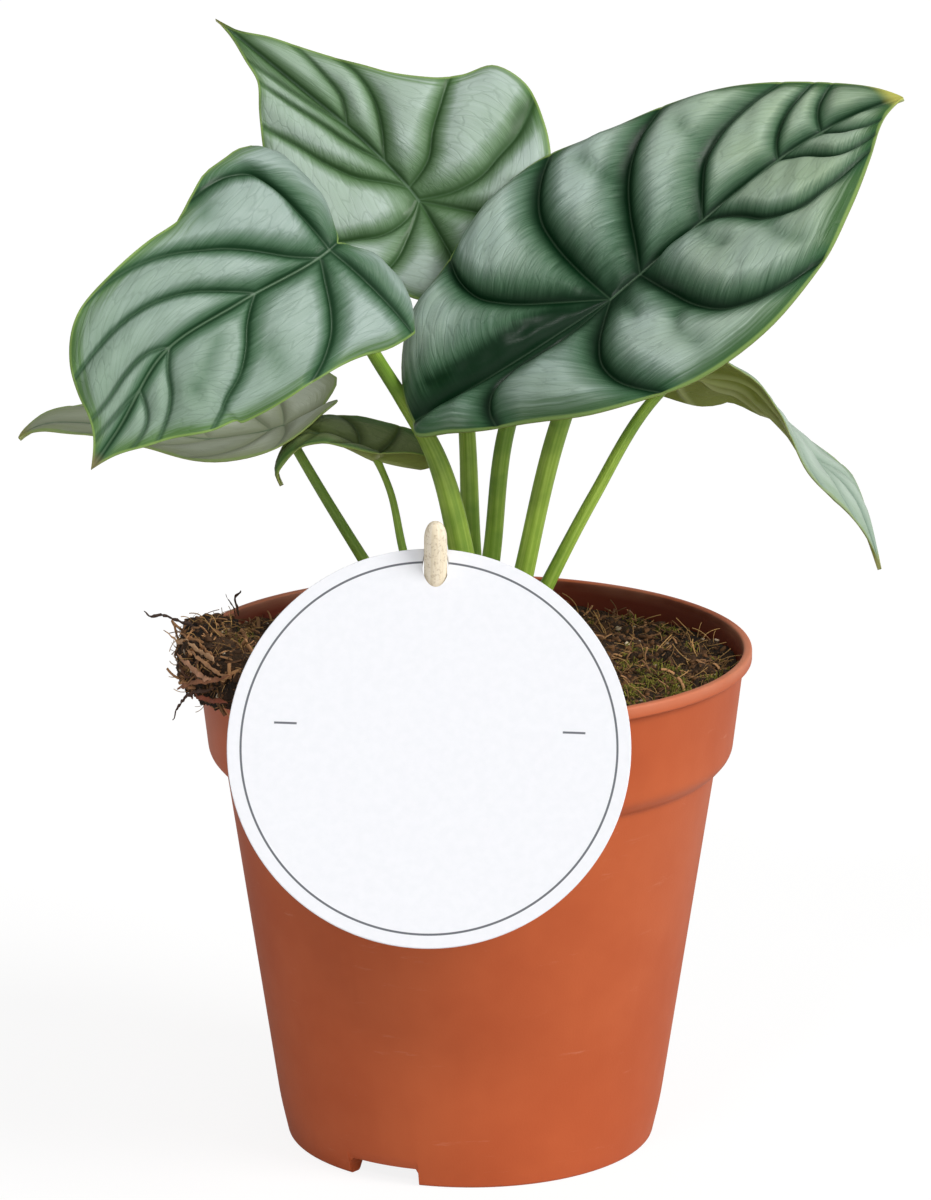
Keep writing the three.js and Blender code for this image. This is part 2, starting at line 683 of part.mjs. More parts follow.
function soilFill() {
  const bottom = floorTop + gap;
  const wallRise = (z) => (z - innerHeelHeight) / (innerCreaseHeight - innerHeelHeight);
  const collarRise = (z) => (z - collarFootHeight) / (innerRimHeight - collarFootHeight);
  const wallInner = (z) => mix(heelRadius - wall, creaseRadius - wall, wallRise(z)) - gap;
  const collarInner = (z) => mix(collarFootRadius - wall, innerRimRadius, collarRise(z)) - gap;
  const faceting = Math.cos(Math.PI / soilSectors);
  const edge = collarInner(soilLevel - 1.5) * faceting;
  const sideLevels = [
    [innerFloorRadius - gap, bottom],
    [wallInner(innerHeelHeight), innerHeelHeight + 0.3],
    [wallInner(creaseHeight), creaseHeight + 0.6],
    [collarInner(collarFootHeight), collarFootHeight + 0.3],
    [collarInner(edgeLevel), edgeLevel],
  ];
  const points = [new THREE.Vector3(0, 0, bottom)];
  const ringPoint = (r, turn, z) => new THREE.Vector3(r * Math.cos(turn), r * Math.sin(turn), z);
  const rings = [];
  for (const [r, z] of sideLevels) {
    const ring = [];
    for (let k = 0; k < soilSectors; k += 1) {
      points.push(ringPoint(r * faceting, (2 * Math.PI * k) / soilSectors, z));
      ring.push(points.length - 1);
    }
    rings.push(ring);
  }
  for (let n = soilRings; n >= 1; n -= 1) {
    const ring = [];
    for (let k = 0; k < soilSectors; k += 1) {
      const turn = (2 * Math.PI * k) / soilSectors;
      const r = (edge * n) / soilRings;
      const z = soilTopAt(r * Math.cos(turn), r * Math.sin(turn));
      const atWall = collarInner(clamp(z, edgeLevel, innerRimHeight)) * faceting;
      points.push(ringPoint(n === soilRings ? atWall : r, turn, z));
      ring.push(points.length - 1);
    }
    rings.push(ring);
  }
  const triangles = [];
  const next = (k) => (k + 1) % soilSectors;
  for (let k = 0; k < soilSectors; k += 1) triangles.push(0, rings[0][next(k)], rings[0][k]);
  for (let n = 0; n + 1 < rings.length; n += 1) {
    for (let k = 0; k < soilSectors; k += 1) {
      const [a, b] = [rings[n][k], rings[n][next(k)]];
      const [c, d] = [rings[n + 1][next(k)], rings[n + 1][k]];
      triangles.push(a, b, c, a, c, d);
    }
  }
  points.push(new THREE.Vector3(0, 0, soilTopAt(0, 0)));
  const top = rings[rings.length - 1];
  for (let k = 0; k < soilSectors; k += 1) triangles.push(points.length - 1, top[k], top[next(k)]);
  return solidFrom(geometryOf(points, triangles));
}

// The clump has the section of a hook that lies over the lip, from its inner foot over the rim to its
// outer foot and back over its top. It is thickest in its middle: body runs from 0 to 1.
function soilClump() {
  const rings = [];
  let cap = [];
  const over = potHeight + gap;
  const outside = rimRadius + gap;
  for (let n = 0; n <= clumpSteps; n += 1) {
    const share = n / clumpSteps;
    const turn = radians(mix(clumpStart, clumpEnd, share));
    const body = Math.pow(Math.sin(Math.PI * mix(0.06, 0.94, share)), 0.6);
    const rough = 0.5 * Math.sin(n * 2.4) + 0.4 * Math.cos(n * 3.9 + 1);
    const section = [
      [rimRadius - clumpReach, clumpInnerFoot],
      [rimRadius - clumpReach / 2, clumpInnerFoot + 2],
      [innerRimRadius - gap, innerRimHeight],
      [innerRimRadius + 0.6 - gap, over],
      [outside, over],
      [outside, mix(potHeight - 1, lipFoot - 3 + rough, body)],
      [mix(outside + 0.7, outside + 2.6 + rough, body), mix(potHeight - 1.2, lipFoot - 3.4, body)],
      [mix(outside + 0.8, outside + 3.6 - rough, body), mix(potHeight, potHeight - 2, body)],
      [mix(outside + 0.6, outside + 2.2 + rough, body), mix(over + 0.8, over + 3 + rough, body)],
      [rimRadius - 3, mix(over + 1.4, over + 5 + rough, body)],
      [rimRadius - clumpReach, mix(over + 0.6, over + 4, body)],
    ];
    const flat = section.map(([r, z]) => new THREE.Vector2(r, z));
    if (n === 0) cap = THREE.ShapeUtils.triangulateShape(flat, []);
    rings.push(section.map(([r, z]) => new THREE.Vector3(r * Math.cos(turn), r * Math.sin(turn), z)));
  }
  return solidFrom(rodGeometry(rings, cap));
}

// Tag and stick
const tagFace = new THREE.Vector3(0, -Math.cos(radians(tagLean)), Math.sin(radians(tagLean)));
const tagUp = new THREE.Vector3(
  Math.sin(radians(tagTurn)),
  Math.sin(radians(tagLean)) * Math.cos(radians(tagTurn)),
  Math.cos(radians(tagLean)) * Math.cos(radians(tagTurn)),
);
const holeCentre = vector(tagCentre).addScaledVector(tagUp, holeUp);
const stickAxis = new THREE.Vector3(0, -Math.sin(radians(stickLean)), Math.cos(radians(stickLean)));

// A round bar along an axis, from a profile of [radius, distance along the axis from a point]
function barAlong(profile, segments, point, axis) {
  const turn = new THREE.Quaternion().setFromUnitVectors(new THREE.Vector3(0, 0, 1), axis);
  return turned(profile, segments).applyQuaternion(turn).translate(point.x, point.y, point.z);
}

function stickGeometry(grow) {
  const r = stickRadius + grow;
  const top = stickAboveHole + grow;
  const profile = [
    [0, -stickBelowHole - grow],
    [r * 0.5, -stickBelowHole - grow],
    [r, -stickBelowHole + stickPoint],
    [r, top - stickPoint],
    [r * 0.86, top - 0.4 * stickPoint],
    [r * 0.5, top - 0.1 * stickPoint],
    [0, top],
  ];
  return barAlong(profile, 12, holeCentre, stickAxis);
}

function tagGeometry() {
  const disc = [
    [0, -tagThickness],
    [tagRadius, -tagThickness],
    [tagRadius, 0],
    [0, 0],
  ];
  const solid = solidFrom(barAlong(disc, 72, vector(tagCentre), tagFace));
  return geometryFrom(solid.subtract(solidFrom(stickGeometry(gap))));
}

function soilGeometry() {
  let soil = soilFill().add(soilClump());
  for (const name of Object.keys(stalks)) {
    soil = soil.subtract(solidFrom(rodGeometry(stalkRings(name, gap), roundCap)));
  }
  soil = soil.subtract(solidFrom(stickGeometry(gap)));
  return geometryFrom(soil);
}

// The plant in its pot
const plant = new THREE.Group();

function addPiece(name, geometry, material) {
  const mesh = new THREE.Mesh(geometry, material);
  mesh.name = name;
  plant.add(mesh);
}

addPiece("pot", potGeometry(), potPlastic);
addPiece("soil", soilGeometry(), peat);
for (const [name, leaf] of Object.entries(leaves)) {
  addPiece("blade_" + name, bladeGeometry(leaf), silverBlade);
  addPiece("stalk_" + name, rodGeometry(stalkRings(name, 0), roundCap), greenStalk);
}
addPiece("tag", tagGeometry(), paper);
addPiece("stick", stickGeometry(0), bamboo);

export default plant;
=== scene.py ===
import math

import bpy
import numpy as np
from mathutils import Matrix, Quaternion, Vector, noise


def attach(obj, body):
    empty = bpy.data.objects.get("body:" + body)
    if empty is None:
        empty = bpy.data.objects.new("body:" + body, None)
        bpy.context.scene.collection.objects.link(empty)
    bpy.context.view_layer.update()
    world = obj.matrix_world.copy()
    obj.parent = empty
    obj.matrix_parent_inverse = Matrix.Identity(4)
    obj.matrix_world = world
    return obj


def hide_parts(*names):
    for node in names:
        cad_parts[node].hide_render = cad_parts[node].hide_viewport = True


# A young silver dragon alocasia in its nursery pot, with a paper care tag on a stick.
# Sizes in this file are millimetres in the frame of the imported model, +Z up, front towards -Y.

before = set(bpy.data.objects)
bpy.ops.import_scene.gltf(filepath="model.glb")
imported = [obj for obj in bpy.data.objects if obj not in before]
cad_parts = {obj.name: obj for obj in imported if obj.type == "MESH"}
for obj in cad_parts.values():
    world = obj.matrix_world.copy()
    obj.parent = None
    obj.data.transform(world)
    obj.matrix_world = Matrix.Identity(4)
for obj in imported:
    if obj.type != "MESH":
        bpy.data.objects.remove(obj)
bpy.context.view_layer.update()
mm = 0.001
scene = bpy.context.scene

# Camera and light

studio = {
    "imageHeight": 1200,
    "focalPixels": 5637,
    "sensor": 36,
    "nearest": 0.05,
    "pitch": 14.62,
    "distance": 1200,
    "target": (-1.1, 0, 118.2),
    "floorReach": 6000,
    "floorShade": 0.66,
    "floorShadeSeen": 0.16,
    "floorGlow": 0.86,
    "surround": 0.3,
    "backdrop": 1.0,
    # from: the side that the light comes from; share: how much of white it gives a surface facing it
    "lamps": {
        "key": {"from": (0.72, -0.42, 0.62), "share": 0.7, "angle": 30, "tint": (1.0, 0.985, 0.96)},
        "fill": {"from": (0.3, -0.95, 0.1), "share": 0.22, "angle": 60, "tint": (0.97, 0.99, 1.0)},
        "glint": {"from": (-0.25, -0.75, 0.85), "share": 0.16, "angle": 9, "tint": (1.0, 1.0, 1.0)},
    },
}


def join(tree, value, target):
    # a socket takes the value of another node, or a plain one
    if isinstance(value, nodeValue):
        tree.links.new(value.socket, target)
    else:
        target.default_value = value


def addNode(tree, kind, sockets=None, **settings):
    node = tree.nodes.new(kind)
    for setting, value in settings.items():
        setattr(node, setting, value)
    for socket, value in (sockets or {}).items():
        join(tree, value, node.inputs[socket])
    return node


def lookAt(thing, place, target):
    thing.location = place
    thing.rotation_mode = "QUATERNION"
    thing.rotation_quaternion = (Vector(target) - Vector(place)).to_track_quat("-Z", "Y")


def makeStudio():
    camera = bpy.data.objects.new("photoCamera", bpy.data.cameras.new("photoCamera"))
    scene.collection.objects.link(camera)
    pitch = math.radians(studio["pitch"])
    target = Vector(studio["target"]) * mm
    forward = Vector((0, math.cos(pitch), -math.sin(pitch)))
    lookAt(camera, target - forward * studio["distance"] * mm, target)
    camera.data.sensor_width = studio["sensor"]
    camera.data.lens = studio["sensor"] * studio["focalPixels"] / studio["imageHeight"]
    camera.data.clip_start = studio["nearest"]
    scene.camera = camera
    for name, lamp in studio["lamps"].items():
        data = bpy.data.lights.new(name + "Lamp", "SUN")
        data.energy = lamp["share"] * math.pi
        data.angle = math.radians(lamp["angle"])
        data.color = lamp["tint"]
        thing = bpy.data.objects.new(name + "Lamp", data)
        scene.collection.objects.link(thing)
        lookAt(thing, Vector(lamp["from"]), Vector((0, 0, 0)))
    world = bpy.data.worlds.new("studioWorld")
    world.use_nodes = True
    tree = world.node_tree
    background = tree.nodes["Background"]
    background.inputs["Color"].default_value = (1, 1, 1, 1)
    seen = valueOf(tree, "ShaderNodeLightPath", output="Is Camera Ray")
    sockets = {"Value": seen, "To Min": studio["surround"], "To Max": studio["backdrop"]}
    join(tree, valueOf(tree, "ShaderNodeMapRange", sockets), background.inputs["Strength"])
    scene.world = world
    scene.view_settings.view_transform = "Standard"
    print("studio: camera, lamps and world")


# Shader nodes. A nodeValue is a value on its way through a tree, and takes part in plain sums.


class nodeValue:
    def __init__(self, tree, socket):
        self.tree = tree
        self.socket = socket

    def __add__(self, other):
        return mathOf("ADD", self, other)

    def __sub__(self, other):
        return mathOf("SUBTRACT", self, other)

    def __rsub__(self, other):
        return mathOf("SUBTRACT", other, self)

    def __mul__(self, other):
        return mathOf("MULTIPLY", self, other)

    def __pow__(self, other):
        return mathOf("POWER", self, other)

    def held(self):
        # keeps the last sum between 0 and 1
        self.socket.node.use_clamp = True
        return self


def valueOf(tree, kind, sockets=None, output=0, **settings):
    return nodeValue(tree, addNode(tree, kind, sockets, **settings).outputs[output])


def valuesOf(tree, kind, sockets, **settings):
    return [nodeValue(tree, output) for output in addNode(tree, kind, sockets, **settings).outputs]


def mathOf(operation, first, second=0.0):
    tree = (first if isinstance(first, nodeValue) else second).tree
    return valueOf(tree, "ShaderNodeMath", {0: first, 1: second}, operation=operation)


def vectorOf(operation, first, second):
    return valueOf(first.tree, "ShaderNodeVectorMath", {0: first, 1: second}, operation=operation)


def partsOf(vector):
    return valuesOf(vector.tree, "ShaderNodeSeparateXYZ", {"Vector": vector})


def srgb(colour):
    shares = [value / 255 for value in colour]
    return (*[s / 12.92 if s <= 0.04045 else ((s + 0.055) / 1.055) ** 2.4 for s in shares], 1.0)


def blendOf(share, *colours):
    # a colour of three numbers is given from 0 to 255
    first, second = [srgb(c) if isinstance(c, tuple) and len(c) == 3 else c for c in colours]
    return valueOf(share.tree, "ShaderNodeMix", {0: share, 6: first, 7: second}, 2, data_type="RGBA")


def rangeOf(value, low, high, start=0.0, end=1.0, kind="SMOOTHSTEP"):
    sockets = {"Value": value, "From Min": low, "From Max": high, "To Min": start, "To Max": end}
    return valueOf(value.tree, "ShaderNodeMapRange", sockets, interpolation_type=kind)


def attributeOf(tree, name, output="Fac"):
    return valueOf(tree, "ShaderNodeAttribute", output=output, attribute_name=name)


def noiseOf(vector, scale, detail, roughness, distortion=0.0):
    sockets = {"Vector": vector, "Scale": scale, "Detail": detail, "Roughness": roughness}
    return valueOf(vector.tree, "ShaderNodeTexNoise", {**sockets, "Distortion": distortion})


def stretchOf(vector, *scale):
    return valueOf(vector.tree, "ShaderNodeMapping", {"Vector": vector, "Scale": scale})


def objectCoordinates(tree):
    return valueOf(tree, "ShaderNodeTexCoord", output="Object")


def uvOf(tree, name):
    return valueOf(tree, "ShaderNodeUVMap", uv_map=name)


def bumpOf(height, strength, distance):
    sockets = {"Height": height, "Strength": strength, "Distance": distance}
    return valueOf(height.tree, "ShaderNodeBump", sockets)


def newMaterial(name, **finish):
    material = bpy.data.materials.new(name)
    material.use_nodes = True
    tree = material.node_tree
    tree.nodes.clear()
    shader = addNode(tree, "ShaderNodeBsdfPrincipled")
    output = addNode(tree, "ShaderNodeOutputMaterial")
    tree.links.new(shader.outputs[0], output.inputs["Surface"])
    connect(tree, shader, **finish)
    return material, tree, shader


def connect(tree, shader, **values):
    for socket, value in values.items():
        join(tree, value, shader.inputs[socket.replace("_", " ")])


def newGroup(name, inputs, outputs):
    # inputs: each label with its first value, which is one number or three
    group = bpy.data.node_groups.new(name, "ShaderNodeTree")
    for label, value in inputs.items():
        kind = "NodeSocketVector" if isinstance(value, tuple) else "NodeSocketFloat"
        group.interface.new_socket(label, in_out="INPUT", socket_type=kind).default_value = value
    for label in outputs:
        group.interface.new_socket(label, in_out="OUTPUT", socket_type="NodeSocketFloat")
    given = addNode(group, "NodeGroupInput").outputs
    out = addNode(group, "NodeGroupOutput").inputs
    return group, [nodeValue(group, given[label]) for label in inputs], out


def makeMottle():
    # soft blotches over a fine grain, for every surface that grew, was moulded or was pressed
    inputs = {"Vector": (0.0, 0.0, 0.0), "Blotch": 60.0, "Grain": 900.0}
    group, (vector, blotch, grain), out = newGroup("softMottle", inputs, ["Blotches", "Grains"])
    blotches = noiseOf(vector, blotch, 4.0, 0.6)
    grains = noiseOf(vector, grain, 2.0, 0.5)
    join(group, rangeOf(blotches, 0.3, 0.7), out["Blotches"])
    join(group, grains, out["Grains"])
    return group


def makeStreaks():
    # streaks along the first direction of the given map, for fibres, feathered veins and wood grain
    inputs = {"Vector": (0.0, 0.0, 0.0), "Stretch": (10.0, 200.0, 1.0)}
    group, (vector, stretch), out = newGroup("fibreStreaks", inputs, ["Coarse", "Fine"])
    placed = vectorOf("MULTIPLY", vector, stretch)
    join(group, noiseOf(placed, 1.0, 2.0, 0.6, 0.3), out["Coarse"])
    join(group, noiseOf(placed, 2.7, 3.0, 0.65, 0.2), out["Fine"])
    return group


softMottle = makeMottle()
fibreStreaks = makeStreaks()


def mottleOf(vector, blotch, grain):
    sockets = {"Vector": vector, "Blotch": blotch, "Grain": grain}
    return valuesOf(vector.tree, "ShaderNodeGroup", sockets, node_tree=softMottle)


def streaksOf(vector, *stretch):
    sockets = {"Vector": vector, "Stretch": stretch}
    return valuesOf(vector.tree, "ShaderNodeGroup", sockets, node_tree=fibreStreaks)


# Mesh helpers


def meshPiece(name, points, faces, material, smooth=True):
    mesh = bpy.data.meshes.new(name)
    mesh.from_pydata([Vector(p) * mm for p in points], [], faces)
    mesh.validate()
    mesh.materials.append(material)
    if smooth:
        mesh.shade_smooth()
    piece = bpy.data.objects.new(name, mesh)
    scene.collection.objects.link(piece)
    return piece


def sharpen(piece, angle):
    piece.data.set_sharp_from_angle(angle=math.radians(angle))


def pointValues(piece, name, values):
    layer = piece.data.attributes.new(name, "FLOAT", "POINT")
    layer.data.foreach_set("value", np.asarray(values, dtype=np.float32))


def uvFromPoints(piece, name, pairs):
    layer = piece.data.uv_layers.new(name=name)
    corners = np.empty(len(piece.data.loops), dtype=np.int32)
    piece.data.loops.foreach_get("vertex_index", corners)
    layer.data.foreach_set("uv", np.asarray(pairs, dtype=np.float32)[corners].ravel())


def settle(piece):
    # the evaluated result becomes the piece's plain mesh, with no modifier left
    graph = bpy.context.evaluated_depsgraph_get()
    mesh = bpy.data.meshes.new_from_object(piece.evaluated_get(graph))
    old = piece.data
    piece.modifiers.clear()
    piece.data = mesh
    mesh.name = piece.name
    bpy.data.meshes.remove(old)
    return piece


def cutAway(piece, cutter):
    cut = piece.modifiers.new("cut", "BOOLEAN")
    cut.operation = "DIFFERENCE"
    cut.solver = "EXACT"
    cut.object = cutter
    settle(piece)
    bpy.data.objects.remove(cutter)


def carry(piece, slot, *nodes):
    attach(piece, "root")
    if nodes:
        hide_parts(*nodes)
    return piece


def mix(start, end, share):
    return start + (end - start) * share


def clamp(value, low, high):
    return min(high, max(low, value))


def onCircle(radius, turn, height=0.0):
    return (radius * math.cos(turn), radius * math.sin(turn), height)


def tubeFaces(steps, sides, first=0):
    # the wall and both ends of a tube whose points run ring by ring
    faces = []
    for n in range(steps):
        for k in range(sides):
            a, b = first + n * sides + k, first + n * sides + (k + 1) % sides
            faces.append([a, b, b + sides, a + sides])
    faces.append([first + k for k in range(sides)][::-1])
    faces.append([first + steps * sides + k for k in range(sides)])
    return faces


def ringFaces(rings):
    # the faces between rings of point numbers; a ring that is one point repeats its number
    faces = []
    for lower, upper in zip(rings, rings[1:]):
        for k in range(len(lower)):
            n = (k + 1) % len(lower)
            corners = [lower[k], lower[n], upper[n], upper[k]]
            kept = [c for i, c in enumerate(corners) if c != corners[i - 1]]
            if len(set(kept)) > 2:
                faces.append(kept)
    return faces


def wrapGrain(piece, places):
    # a map that goes round a bar and along it, from the places [share of a turn, length]
    layer = piece.data.uv_layers.new(name="grain")
    for polygon in piece.data.polygons:
        turns = [places[v][0] for v in polygon.vertices]
        wrap = len(turns) < 5 and max(turns) - min(turns) > 0.5
        for loop in polygon.loop_indices:
            turn, s = places[piece.data.loops[loop].vertex_index]
            layer.data[loop].uv = (turn + 1 if wrap and turn < 0.5 else turn, s / 100)


class smoothLine:
    # a smooth line through points of any dimension, by the length of its chords
    def __init__(self, points):
        self.points = [np.array(p, dtype=float) for p in points]
        steps = [b - a for a, b in zip(self.points, self.points[1:])]
        self.chords = [float(np.linalg.norm(s)) for s in steps]
        steps = [s / c for s, c in zip(steps, self.chords)]
        self.at = np.concatenate([[0], np.cumsum(self.chords)])
        self.length = float(self.at[-1])
        self.slopes = [None] * len(self.points)
        for i in range(1, len(steps)):
            before, after = self.chords[i - 1], self.chords[i]
            self.slopes[i] = (steps[i] * before + steps[i - 1] * after) / (before + after)
        several = len(steps) > 1
        self.slopes[0] = 1.5 * steps[0] - 0.5 * self.slopes[1] if several else steps[0]
        self.slopes[-1] = 1.5 * steps[-1] - 0.5 * self.slopes[-2] if several else steps[-1]

    def point(self, s):
        if s <= 0:
            return self.points[0] + self.slopes[0] * s
        if s >= self.length:
            return self.points[-1] + self.slopes[-1] * (s - self.length)
        i = int(np.searchsorted(self.at, s, side="left")) - 1
        c = self.chords[i]
        u = (s - self.at[i]) / c
        uu, uuu = u * u, u * u * u
        return (
            (2 * uuu - 3 * uu + 1) * self.points[i]
            + (uuu - 2 * uu + u) * c * self.slopes[i]
            + (3 * uu - 2 * uuu) * self.points[i + 1]
            + (uuu - uu) * c * self.slopes[i + 1]
        )

    def drawn(self, steps):
        return [self.point(self.length * k / steps) for k in range(steps + 1)]


# Leaf blades, drawn flat and then bent, as in the part's source. Each side of the outline runs from
# the rear notch to the tip as [along the midrib, distance from it].

